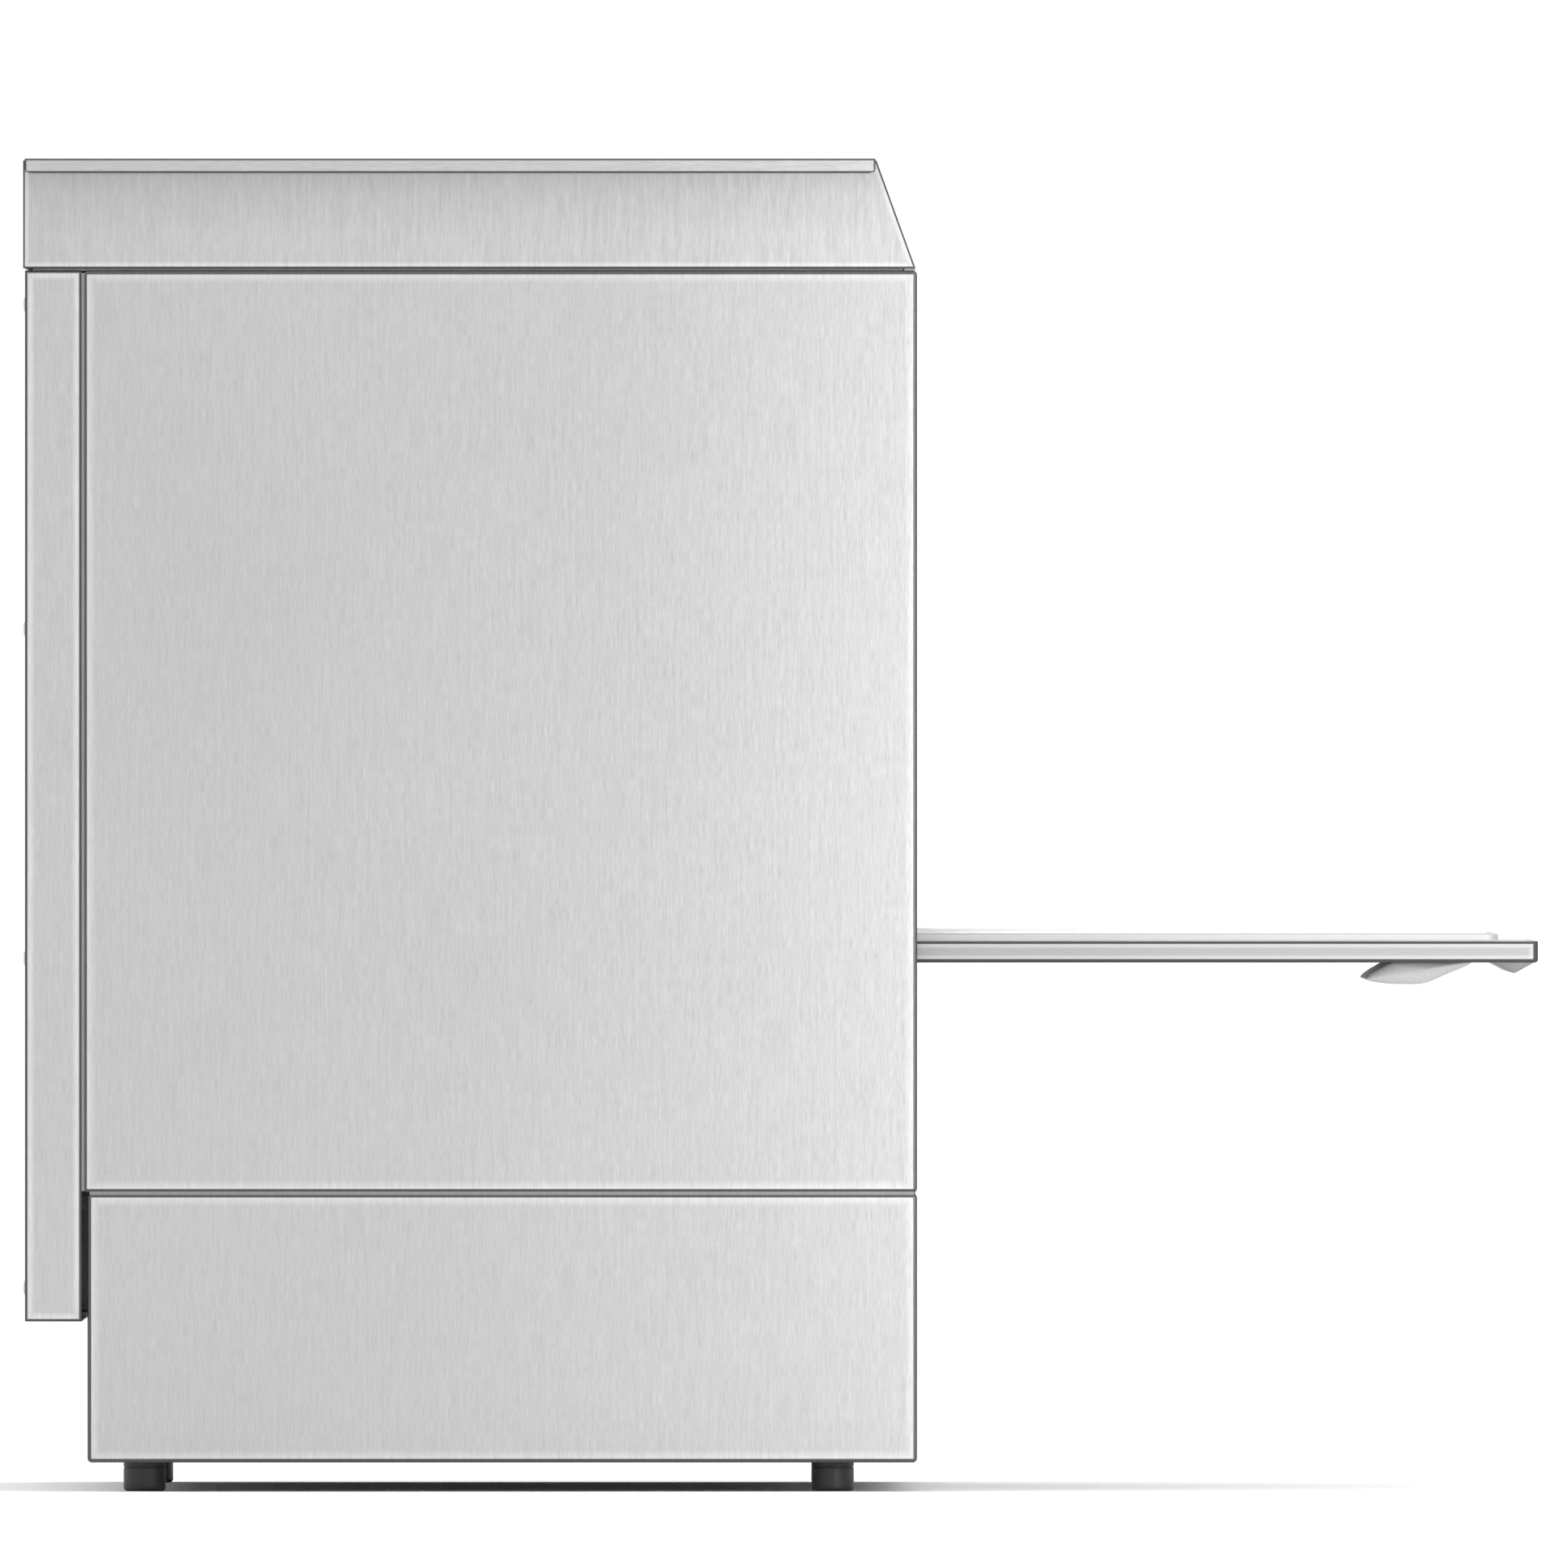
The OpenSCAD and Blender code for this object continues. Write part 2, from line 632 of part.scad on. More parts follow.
module feet() color("black") for (x = [-foot_x, foot_x], y = foot_ys)
    translate([x, y, 0]) rotate_extrude() {
        square([foot_r - 3, foot_h]);
        translate([0, 3]) square([foot_r, foot_h - 4]);
        translate([0, foot_h - 1]) square([foot_r - 1, 1]);
        translate([foot_r - 3, 3]) circle(3);
    }

module foot_studs() color("silver") for (x = [-foot_x, foot_x], y = foot_ys) translate([x, y, 0]) {
    translate([0, 0, foot_h]) cylinder(h = 24, r = 5);
    translate([0, 0, frame_bottom + 2]) cylinder(h = 6, r = 8.5, $fn = 6);
}

module door_outer_skin() color("gainsboro") {
    difference() {
        translate([0, 0, door_z0]) linear_extrude(door_pan_t)
            soft_rect([-door_w, door_w], [door_tip, door_end], corner_r);
        translate([0, 0, door_z0 + sheet]) linear_extrude(door_pan_t)
            soft_rect([-door_w + sheet, door_w - sheet], [door_tip + sheet, door_end - sheet],
                corner_r - sheet);
    }
}

module door_inner_panel() color("gainsboro") {
    x = door_w - sheet - 0.2;
    y = [door_tip + sheet + 0.2, door_end - sheet - 0.2];
    ry = [door_tip + 25, door_end - 4];
    difference() {
        union() {
            block([-x, x], y, [door_z1 - sheet, door_z1]);
            translate([0, 0, door_z1 - sheet]) linear_extrude(door_rise + sheet)
                soft_rect([-raised_x, raised_x], ry, 8);
            // runners that carry the rack
            both_sides() block([236, 248], [ry[0] + 8, ry[1] - 2], [door_z2 - 1, 358.2]);
        }
        translate([0, 0, door_z1 - sheet - 1]) linear_extrude(door_rise + 1)
            soft_rect([-raised_x + sheet, raised_x - sheet], [ry[0] + sheet, ry[1] - sheet], 7);
        both_sides() block([ear_x - 1, x + 1], [front - 18, door_end + 1], [door_z0, door_z2]);
    }
}

module door_insulation() color("khaki")
    block([-268, 268], [door_tip + 6, front - 14], [door_z0 + sheet + 0.3, door_z1 - sheet - 0.3]);

// Moulded pull on the door's outer face: a leaf-shaped lip and, nearer the tip, a low ridge
module door_handle() color("lightgray") {
    lip_x = 240;
    lip_root = [door_tip + 39.8, door_tip + 89.5];
    lip_tip = door_tip + 109;
    along_x(-lip_x, 2 * lip_x) polygon([[lip_root[0], door_z0], [lip_root[1], door_z0],
        [lip_tip - 6, door_z0 - 6.6], [lip_tip, door_z0 - 10.2], [lip_tip - 3, door_z0 - 11.6],
        [lip_tip - 12, door_z0 - 13.2], [lip_tip - 24.5, door_z0 - 13.8],
        [lip_tip - 37.5, door_z0 - 13.2], [lip_root[0] + 16, door_z0 - 6.6]]);
    along_x(-lip_x, 2 * lip_x) polygon([[door_tip + 1.5, door_z0], [door_tip + 29, door_z0],
        [door_tip + 15, door_z0 - 6.8]]);
    // end blocks join the lip and the ridge under the grip
    both_sides() block([lip_x - 4, lip_x], [door_tip + 15, lip_root[0] + 8], [door_z0 - 2.4, door_z0]);
}

module hinge_arms() color("silver") both_sides() {
    along_x(ear_x, ear_t) {
        translate([front - 110, door_z0 + sheet + 0.2])
            square([110 + 40, door_pan_t - 2 * sheet - 0.4]);
        translate([pivot_y - 11, door_z0 + sheet + 4]) square([22, pivot_z - door_z0 - sheet - 4]);
        translate([pivot_y, pivot_z]) circle(11);
    }
    translate([ear_x, pivot_y, pivot_z]) rotate([0, 90, 0])
        cylinder(h = inner_w + 2.8 - ear_x, r = pin_r);
}

// One side of the rack's wall with its window cut, drawn along X at the rack's front
module rack_window() {
    h = rack_side / 2;
    z = rack_window_z;
    translate([0, h + 10, 0]) rotate([90, 0, 0]) linear_extrude(2 * h + 20)
        polygon([[-h + 45, z[0]], [h - 45, z[0]], [h - 64, z[1]], [-h + 64, z[1]]]);
}

module glass_rack() color("aliceblue") translate([0, rack_mid, 0]) {
    h = rack_side / 2;
    wall = 2.4;
    difference() {
        union() {
            translate([0, 0, rack_z]) linear_extrude(rack_h)
                soft_rect([-h + rack_step, h - rack_step], [-h + rack_step, h - rack_step], 12);
            translate([0, 0, rack_band_z]) linear_extrude(rack_z + rack_h - rack_band_z)
                soft_rect([-h, h], [-h, h], 15);
        }
        translate([0, 0, rack_z + 4]) linear_extrude(rack_h)
            soft_rect([-h + rack_step + wall, h - rack_step - wall],
                [-h + rack_step + wall, h - rack_step - wall], 10);
        rack_window();
        rotate([0, 0, 90]) rack_window();
        // the open lattice of the floor
        for (i = [-7 : 7], j = [-7 : 7])
            translate([i * rack_pitch / 2 - 13, j * rack_pitch / 2 - 13, rack_z - 1]) cube([26, 26, 8]);
    }
    // upright ribs on all four sides
    for (a = [0 : 90 : 270], i = [-2.5 : 2.5]) rotate([0, 0, a])
        block([i * rack_pitch - 1.3, i * rack_pitch + 1.3], [-h + 1.8, -h + rack_step + wall],
            [rack_z, rack_window_z[1] + 2]);
}

base_frame();
floor_pan();
rear_service_plate();
side_panel_left();
side_panel_right();
base_panel_left();
base_panel_right();
lower_front_panel();
front_apron();
rear_cover();
cover_screws();
hood();
top_lid();
top_deck();
control_fascia();
display_window();
control_board();
power_button();
start_button();
short_button();
normal_button();
long_button();
wash_chamber();
wash_tank();
tank_strainers();
rack_rails();
door_gasket();
lower_spindle();
upper_spindle();
lower_wash_arm();
lower_rinse_arm();
upper_wash_arm();
upper_rinse_arm();
filter_basket();
overflow_pipe();
tank_heater();
wash_pump();
pump_motor();
suction_hose();
wash_pipes();
boiler();
rinse_pipes();
drain_pump();
drain_hose();
inlet_valve();
inlet_hose();
dosing_pumps();
terminal_box();
pipe_fittings();
hinge_brackets();
counter_springs();
door_switch();
feet();
foot_studs();
door_outer_skin();
door_inner_panel();
door_insulation();
door_handle();
hinge_arms();
glass_rack();
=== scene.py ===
import math

import bpy
import numpy as np
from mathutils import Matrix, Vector


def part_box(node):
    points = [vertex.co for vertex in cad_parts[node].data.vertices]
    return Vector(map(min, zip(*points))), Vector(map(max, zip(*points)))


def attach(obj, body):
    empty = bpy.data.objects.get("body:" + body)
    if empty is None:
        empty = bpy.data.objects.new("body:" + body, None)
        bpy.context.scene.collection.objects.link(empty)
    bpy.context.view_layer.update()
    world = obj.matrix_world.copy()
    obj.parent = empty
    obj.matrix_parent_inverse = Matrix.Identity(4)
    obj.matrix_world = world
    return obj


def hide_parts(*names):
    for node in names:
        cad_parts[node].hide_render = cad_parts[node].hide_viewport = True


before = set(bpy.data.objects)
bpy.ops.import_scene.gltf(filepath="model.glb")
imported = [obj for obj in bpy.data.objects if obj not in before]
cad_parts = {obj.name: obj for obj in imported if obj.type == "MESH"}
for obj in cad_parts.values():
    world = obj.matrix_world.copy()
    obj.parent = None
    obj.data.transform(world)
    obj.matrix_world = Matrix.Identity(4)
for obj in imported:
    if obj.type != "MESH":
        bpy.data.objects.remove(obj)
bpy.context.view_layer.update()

# --- Viewpoint -------------------------------------------------------------------------------
# A long lens level with the middle of the cabinet, square to its left side, so that the side
# panels, the hood's slope and the open door are seen in true profile.
side_low, side_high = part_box("side_panel_left")
lens_mm, sensor_mm = 1500.0, 36.0
view_width = 0.9996
aim = (side_low.x, -0.0021, 0.4512)
camera_data = bpy.data.cameras.new("profile_camera")
camera_data.lens, camera_data.sensor_width = lens_mm, sensor_mm
camera_data.clip_end = 200.0
camera = bpy.data.objects.new("profile_camera", camera_data)
camera.location = (aim[0] - view_width * lens_mm / sensor_mm, aim[1], aim[2])
camera.rotation_euler = (math.radians(90), 0.0, math.radians(-90))
bpy.context.collection.objects.link(camera)
bpy.context.scene.camera = camera

# --- Studio ----------------------------------------------------------------------------------
# A white tent with soft boxes: a tall gridded strip off the left front corner that lifts the metal
# towards the door, one overhead, one at the right and one behind, all over a wide white floor.


def soft_box(name, place, towards, size, watts, fan=180.0):
    """An area light of size (width, height) at place, turned to face towards. fan is the angle in
    degrees that its light spreads over, held in by a grid when it is under 180."""
    data = bpy.data.lights.new(name, "AREA")
    data.shape, data.size, data.size_y, data.energy = "RECTANGLE", size[0], size[1], watts
    data.spread = math.radians(fan)
    lamp = bpy.data.objects.new(name, data)
    lamp.location = place
    lamp.rotation_euler = (Vector(towards) - Vector(place)).to_track_quat("-Z", "Y").to_euler()
    bpy.context.collection.objects.link(lamp)


soft_box("front_strip", (side_low.x - 1.5, -0.79, 0.7), (side_low.x, -0.6, 0.45), (0.3, 1.36), 4.4, 70)
soft_box("top_box", (-0.4, -0.3, 2.6), (0, 0, 0.4), (2.2, 2.2), 11)
soft_box("right_box", (2.4, -1.6, 1.9), (0, 0, 0.45), (1.8, 1.8), 4)
soft_box("rear_box", (-0.6, 2.6, 1.8), (0, 0.4, 0.45), (1.8, 1.8), 8)

tent = bpy.data.worlds.new("white_tent")
tent.use_nodes = True
tent.node_tree.nodes["Background"].inputs["Color"].default_value = (1.0, 1.0, 1.0, 1.0)
tent.node_tree.nodes["Background"].inputs["Strength"].default_value = 1.17
bpy.context.scene.world = tent
bpy.context.scene.view_settings.view_transform = "Standard"

floor_half = 30.0
floor_mesh = bpy.data.meshes.new("floor")
floor_mesh.from_pydata([(-floor_half, -floor_half, 0), (floor_half, -floor_half, 0),
                        (floor_half, floor_half, 0), (-floor_half, floor_half, 0)], [], [(0, 1, 2, 3)])
floor = bpy.data.objects.new("floor", floor_mesh)
bpy.context.collection.objects.link(floor)
floor_paint = bpy.data.materials.new("floor_paint")
floor_paint.use_nodes = True
floor_paint.node_tree.nodes["Principled BSDF"].inputs["Base Color"].default_value = (1.0, 1.0, 1.0, 1)
floor_paint.node_tree.nodes["Principled BSDF"].inputs["Roughness"].default_value = 1.0
floor_paint.node_tree.nodes["Principled BSDF"].inputs["Specular IOR Level"].default_value = 0.0
floor_mesh.materials.append(floor_paint)

# --- Brushed steel ---------------------------------------------------------------------------
# Every outer sheet is 1.2 mm stainless steel, belt-ground along its height to a satin grain.
# The grain is short fine scratches, with a faint cloudiness left by the rolling.


def wire(tree, source, target):
    """Joins an output socket to an input socket."""
    tree.links.new(source, target)


def math_node(tree, kind, *values):
    """One maths node whose inputs are sockets or numbers. Returns its output."""
    node = tree.nodes.new("ShaderNodeMath")
    node.operation = kind
    for slot, value in enumerate(values):
        if isinstance(value, (int, float)):
            node.inputs[slot].default_value = value
        else:
            wire(tree, value, node.inputs[slot])
    return node.outputs[0]


def parts_of(tree, vector):
    """The X, Y and Z sockets of a vector socket."""
    node = tree.nodes.new("ShaderNodeSeparateXYZ")
    wire(tree, vector, node.inputs[0])
    return node.outputs


def noise(tree, coords, stretch, detail=2.0, rough=0.5):
    """Fractal noise on coords, stretched so that stretch holds features per metre on each axis."""
    mapping = tree.nodes.new("ShaderNodeMapping")
    mapping.inputs["Scale"].default_value = stretch
    wire(tree, coords, mapping.inputs["Vector"])
    node = tree.nodes.new("ShaderNodeTexNoise")
    node.inputs["Scale"].default_value = 1.0
    node.inputs["Detail"].default_value = detail
    node.inputs["Roughness"].default_value = rough
    wire(tree, mapping.outputs["Vector"], node.inputs["Vector"])
    return node.outputs["Fac"]


def ramp(tree, value, stops):
    """A colour ramp with (place, grey or colour) stops. Returns its colour output."""
    node = tree.nodes.new("ShaderNodeValToRGB")
    points = node.color_ramp.elements
    while len(points) < len(stops):
        points.new(0.5)
    for point, (place, shade) in zip(points, stops):
        point.position = place
        point.color = (*shade, 1.0) if isinstance(shade, tuple) else (shade, shade, shade, 1.0)
    wire(tree, value, node.inputs["Fac"])
    return node.outputs["Color"]


def blend_colours(tree, kind, factor, first, second):
    """Mixes two colours, sockets or tuples, by the named blend. Returns the colour output."""
    node = tree.nodes.new("ShaderNodeMix")
    node.data_type, node.blend_type = "RGBA", kind
    for name, value in (("Factor_Float", factor), ("A_Color", first), ("B_Color", second)):
        socket = next(s for s in node.inputs if s.identifier == name)
        if isinstance(value, tuple):
            socket.default_value = (*value, 1.0)
        elif isinstance(value, (int, float)):
            socket.default_value = value
        else:
            wire(tree, value, socket)
    return next(s for s in node.outputs if s.identifier == "Result_Color")


def shade_over(finish, shade):
    """Multiplies a finish's colour by shade, a colour socket or a tuple."""
    tree = finish.node_tree
    colour = tree.nodes["Principled BSDF"].inputs["Base Color"]
    wire(tree, blend_colours(tree, "MULTIPLY", 1.0, colour.links[0].from_socket, shade), colour)


def object_coords(tree):
    """The Object coordinates of whatever wears the finish."""
    return tree.nodes.new("ShaderNodeTexCoord").outputs["Object"]


def face_normal(tree):
    """The Normal socket of the surface."""
    return tree.nodes.new("ShaderNodeNewGeometry").outputs["Normal"]


def new_finish(name):
    """A material with its node tree, its shader and its Object coordinates."""
    finish = bpy.data.materials.new(name)
    finish.use_nodes = True
    tree = finish.node_tree
    return finish, tree, tree.nodes["Principled BSDF"], object_coords(tree)


def bump(tree, shader, height, strength, distance):
    """Raises the surface by height, a socket, for the shader."""
    node = tree.nodes.new("ShaderNodeBump")
    node.inputs["Strength"].default_value = strength
    node.inputs["Distance"].default_value = distance
    wire(tree, height, node.inputs["Height"])
    wire(tree, node.outputs["Normal"], shader.inputs["Normal"])


def brushed_steel(name, along, tone=0.6, outline=False, rough=0.4):
    """Satin steel with its grain along the axis numbered along (0 X, 1 Y, 2 Z). With outline, a
    point attribute of the piece paints shade along its bent edge and a painted highlight on the
    metal just inside it, standing in for the light and shade of the bend. rough is the middle of
    the roughness."""
    finish, tree, shader, coords = new_finish(name)
    fine = [1300.0, 1300.0, 1300.0]
    fine[along] = 110.0
    broad = [420.0, 420.0, 420.0]
    broad[along] = 26.0
    scratches = noise(tree, coords, fine, 3.0, 0.6)
    streaks = noise(tree, coords, broad, 2.0)
    clouds = noise(tree, coords, (6.0, 6.0, 6.0), 2.0)
    grain = math_node(tree, "ADD", math_node(tree, "MULTIPLY", scratches, 0.7),
                      math_node(tree, "MULTIPLY", streaks, 0.3))
    colour = ramp(tree, grain, [(0.3, tone * 0.88), (0.5, tone), (0.7, tone * 1.12)])
    cloudy = ramp(tree, clouds, [(0.25, 0.965), (0.75, 1.0)])
    colour = blend_colours(tree, "MULTIPLY", 1.0, colour, cloudy)
    if outline:
        # Painted shade along each bend and a painted highlight just inside it, from a point attribute of the
        # piece.
        fold_shade = tree.nodes.new("ShaderNodeAttribute")
        fold_shade.attribute_name = "fold_shade"
        shade = ramp(tree, math_node(tree, "MULTIPLY_ADD", fold_shade.outputs["Fac"], 0.5, 0.5), [
            (0.0, 1.0), (0.5, 0.8), (1.0, 0.17)])
        colour = blend_colours(tree, "MULTIPLY", 1.0, colour, shade)
    wire(tree, colour, shader.inputs["Base Color"])
    shader.inputs["Metallic"].default_value = 1.0
    wire(tree, ramp(tree, grain, [(0.3, rough - 0.06), (0.7, rough + 0.06)]),
         shader.inputs["Roughness"])
    bump(tree, shader, grain, 0.12, 0.0004)
    return finish


cross_steel = brushed_steel("cross_steel", 0)
plain_steel = brushed_steel("plain_steel", 2, 0.48)


def coat(finish, *nodes):
    """Gives CAD nodes a finish in every material slot."""
    for name in nodes:
        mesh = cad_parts[name].data
        mesh.materials.clear()
        mesh.materials.append(finish)


# --- Folded outer panels ---------------------------------------------------------------------
# The side panels, the base side panels, the apron under the door and the deep rear cover are
# pans: a sheet with its four edges folded back on a small radius, hung on the inner frame.


def round_rect(low, high, radius, steps=5):
    """Anticlockwise outline of a rectangle: at each corner the arc centre plus radius times
    (cos, sin) over a quarter turn, with two guard points on each straight beside the arc.
    Returns the points and the painted shade at each: 1 dark on the arc, -0.6 a painted highlight beside it,
    0 on the straight."""
    low, high = np.array(low, float), np.array(high, float)
    turn = np.linspace(0.0, np.pi / 2, steps + 1)
    points, corner_shade = [], []
    guards = np.array([0.0035, 0.0008])
    for k, centre in enumerate(((high - radius), (low[0] + radius, high[1] - radius),
                                (low + radius), (high[0] - radius, low[1] + radius))):
        angle = turn + k * np.pi / 2
        arc = np.array(centre) + radius * np.stack([np.cos(angle), np.sin(angle)], 1)
        before = np.array([np.sin(angle[0]), -np.cos(angle[0])])
        after = np.array([-np.sin(angle[-1]), np.cos(angle[-1])])
        points += [arc[0] + guards[:, None] * before, arc, arc[-1] + guards[::-1, None] * after]
        corner_shade += [[0.0, -0.6], [1.0] * len(arc), [-0.6, 0.0]]
    return np.concatenate(points), np.concatenate(corner_shade)


def grid_faces(rows, columns, closed=True):
    """Quads of a grid of rows by columns points, joined round each row where closed."""
    row, column = np.meshgrid(np.arange(rows - 1), np.arange(columns - (not closed)), indexing="ij")
    across = (column + 1) % columns
    quads = np.stack([row * columns + column, row * columns + across,
                      (row + 1) * columns + across, (row + 1) * columns + column], -1)
    return quads.reshape(-1, 4)


def make_piece(name, points, faces, finish, body, replaced=(), fold_shade=None, sheet=None, crease=35):
    """A mesh from an array of points and lists of faces, smooth but for creases over the angle.
    Takes a finish, rides on a body and stands for CAD nodes; sheet gives a surface a thickness."""
    mesh = bpy.data.meshes.new(name)
    mesh.from_pydata(np.asarray(points, float).tolist(), [], [list(map(int, f)) for f in faces])
    mesh.polygons.foreach_set("use_smooth", np.ones(len(mesh.polygons), bool))
    mesh.set_sharp_from_angle(angle=math.radians(crease))
    # Each point's painted shade value, read by the finishes with outlines.
    if fold_shade is not None:
        mesh.attributes.new("fold_shade", "FLOAT", "POINT").data.foreach_set(
            "value", np.asarray(fold_shade, np.float32))
    mesh.materials.append(finish)
    piece = bpy.data.objects.new(name, mesh)
    bpy.context.collection.objects.link(piece)
    if sheet:
        solid = piece.modifiers.new("sheet", "SOLIDIFY")
        solid.thickness, solid.offset = sheet, -1.0
    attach(piece, body)
    if replaced:
        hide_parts(*replaced)
    return piece


def mesh_of(rings, place, cap=True):
    """Joins rings of (points in the plane, depth) into a skin, with a cap on the last ring, after
    place(a, b, depth) puts them in the cabinet. Faces are turned to look away from the depth."""
    columns = len(rings[0][0])
    flat = np.concatenate([np.column_stack([ring, np.full(len(ring), depth)])
                           for ring, depth in rings])
    points = np.stack(place(flat[:, 0], flat[:, 1], flat[:, 2]), 1)
    faces = grid_faces(len(rings), columns).tolist()
    if cap:
        faces.append([(len(rings) - 1) * columns + i for i in range(columns)])
    axes = np.array([np.array(place(*np.eye(3)[i])) - np.array(place(0.0, 0.0, 0.0))
                     for i in range(3)], float)
    if np.dot(np.cross(axes[0], axes[1]), -axes[2]) < 0:
        faces = [f[::-1] for f in faces]
    return points, faces


sheet_t = 0.0012
bend_r = 0.002
# Steels that take painted shade along their bends and a painted highlight just inside them.
outlined_steel = brushed_steel("outlined_steel", 2, outline=True)
outlined_level = brushed_steel("outlined_level", 1, outline=True)


def folded_pan(name, low, high, depth, place, finish, body, node, flange_shade=0.0):
    """A pan: rings of round_rect(low + inset, high - inset) at a depth behind the face. The rings
    go along the flange, whose painted shade value is given, round a quarter circle of radius
    bend_r, and in across the face. The bend is painted dark, with a painted highlight just inside it."""
    corner = 0.0028
    steps = np.linspace(0.0, np.pi / 2, 6)
    # Each step is (inset, depth, painted shade), from the flange's back edge to the flat of the face:
    # 1 is painted shade on the bend and the flange's back edge, negative values a painted highlight beside
    # them.
    path = [(0.0, depth, 1.0), (0.0, depth - 0.0014, 1.0), (0.0, depth - 0.0021, -0.8),
            (0.0, depth - 0.0045, flange_shade), (0.0, bend_r + 0.003, flange_shade), (0.0, bend_r + 0.0008, -0.8)]
    path += [(bend_r * (1 - math.cos(t)), bend_r * (1 - math.sin(t)), 1.0) for t in steps]
    path += [(bend_r + 0.0002, 0.0, 1.0), (bend_r + 0.0009, 0.0, -0.9), (bend_r + 0.0024, 0.0, -0.7),
             (bend_r + 0.006, 0.0, 0.0)]
    rings, fold_shades = [], []
    for inset, back, fold_shade in path:
        ring, corner_shade = round_rect((low[0] + inset, low[1] + inset), (high[0] - inset, high[1] - inset),
                                    max(corner - inset, 0.0004))
        rings.append((ring, back))
        on_flange = back > bend_r
        fold_shades.append(np.where(np.abs(corner_shade) > abs(fold_shade), corner_shade, fold_shade) if on_flange
                     else np.full(len(ring), fold_shade))
    points, faces = mesh_of(rings, place)
    return make_piece(name, points, faces, finish, body, (node,), np.concatenate(fold_shades), sheet_t)


def on_side(x_face, inward):
    """Place for a panel in the Y-Z plane whose face is at x_face and whose depth runs inward."""
    return lambda a, b, d: (x_face + inward * d, a + 0 * d, b + 0 * d)


for node in ("side_panel_left", "side_panel_right", "base_panel_left", "base_panel_right"):
    low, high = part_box(node)
    left = node.endswith("left")
    folded_pan(node + "_pan", (low.y, low.z), (high.y, high.z), high.x - low.x,
               on_side(low.x if left else high.x, 1 if left else -1), outlined_steel, "cabinet", node)

# A narrow steel strip sits in each joint between the pans, just under their folded edges. It is
# no part of the machine: it stands in for the light caught by the flange faces inside the joint.
seam_half, seam_end, seam_lap = 0.0016, 0.0015, 0.001
seam_light_steel = brushed_steel("seam_light_steel", 2, 0.26)
side_top, base_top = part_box("side_panel_left")[1].z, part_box("base_panel_left")[1].z
rear_seam = (side_high.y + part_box("rear_cover")[0].y) / 2
for side, x in (("left", side_low.x), ("right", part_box("side_panel_right")[1].x)):
    inward = 1 if side == "left" else -1
    for kind, (y0, z0), (y1, z1) in (
            ("rear", (rear_seam - seam_half, base_top + seam_end),
             (rear_seam + seam_half, side_top - seam_end)),
            ("base", (side_low.y + bend_r, base_top - seam_lap),
             (side_high.y - 2 * bend_r, base_top + seam_half))):
        rings = [(np.array([(y0 + i, z0 + i), (y1 - i, z0 + i), (y1 - i, z1 - i), (y0 + i, z1 - i)]), depth)
                 for i, depth in ((0.0, 0.0045), (0.0, 0.0008), (0.0003, 0.0005))]
        points, faces = mesh_of(rings, on_side(x, inward))
        make_piece(f"seam_{kind}_{side}", points, faces, seam_light_steel, "cabinet")


# --- Hood, rear cover and front panels -------------------------------------------------------
# The hood is one folded sheet that leans back at the front over the controls. The rear cover is
# a deep louvred pan. Their folded edges, and those of the front panels, carry painted shade with a
# painted highlight inside, and a painted shadow darkens the top of the hood under the lid.


def lined_steel(name, axes, lines, along=2, shade_z=None, square=0.9, line=0.0013):
    """Brushed steel whose folded edges take painted shade by distance: the least of a * p + b * q + c
    over lines, where p and q are the coordinates numbered axes, with a painted highlight just
    inside the dark line. Only faces whose normal has more than square along the other axis take
    them. line is the painted dark line's width. shade_z paints a shadow on the metal just below
    that height, where the lid stands over it."""
    finish = brushed_steel(name, along, 0.61)
    tree = finish.node_tree
    place = parts_of(tree, object_coords(tree))
    p, q = place[axes[0]], place[axes[1]]
    near = None
    for a, b, c in lines:
        gap = math_node(tree, "ADD", math_node(tree, "ADD", math_node(tree, "MULTIPLY", p, a),
                                               math_node(tree, "MULTIPLY", q, b)), c)
        near = gap if near is None else math_node(tree, "MINIMUM", near, gap)
    facing = parts_of(tree, face_normal(tree))[3 - axes[0] - axes[1]]
    square_on = math_node(tree, "GREATER_THAN", math_node(tree, "ABSOLUTE", facing), square)
    # Painted shade along each edge line, then a painted highlight band, then the plain tone.
    shade = ramp(tree, math_node(tree, "MULTIPLY", near, 0.13 / line), [
        (0.0, 0.12), (0.13, 0.16), (0.2, 1.0), (0.36, 1.0), (0.62, 0.8)])
    # A painted shadow under the lid's lip, fading over reach below shade_z.
    if shade_z is not None:
        reach = 0.04
        below = math_node(tree, "MULTIPLY_ADD", place[2], -1 / reach, shade_z / reach)
        lid_shadow = ramp(tree, below, [(0.0, 0.78), (0.35, 0.9), (1.0, 1.0)])
        shade = blend_colours(tree, "MULTIPLY", 1.0, shade, lid_shadow)
    shade_over(finish, blend_colours(tree, "MIX", square_on, (0.8, 0.8, 0.8), shade))
    return finish


def box_lines(low, high, axes):
    """The four edge lines of a box seen square on, as (a, b, c) with c set so inside is positive."""
    i, j = axes
    return [(1, 0, -low[i]), (-1, 0, high[i]), (0, 1, -low[j]), (0, -1, high[j])]


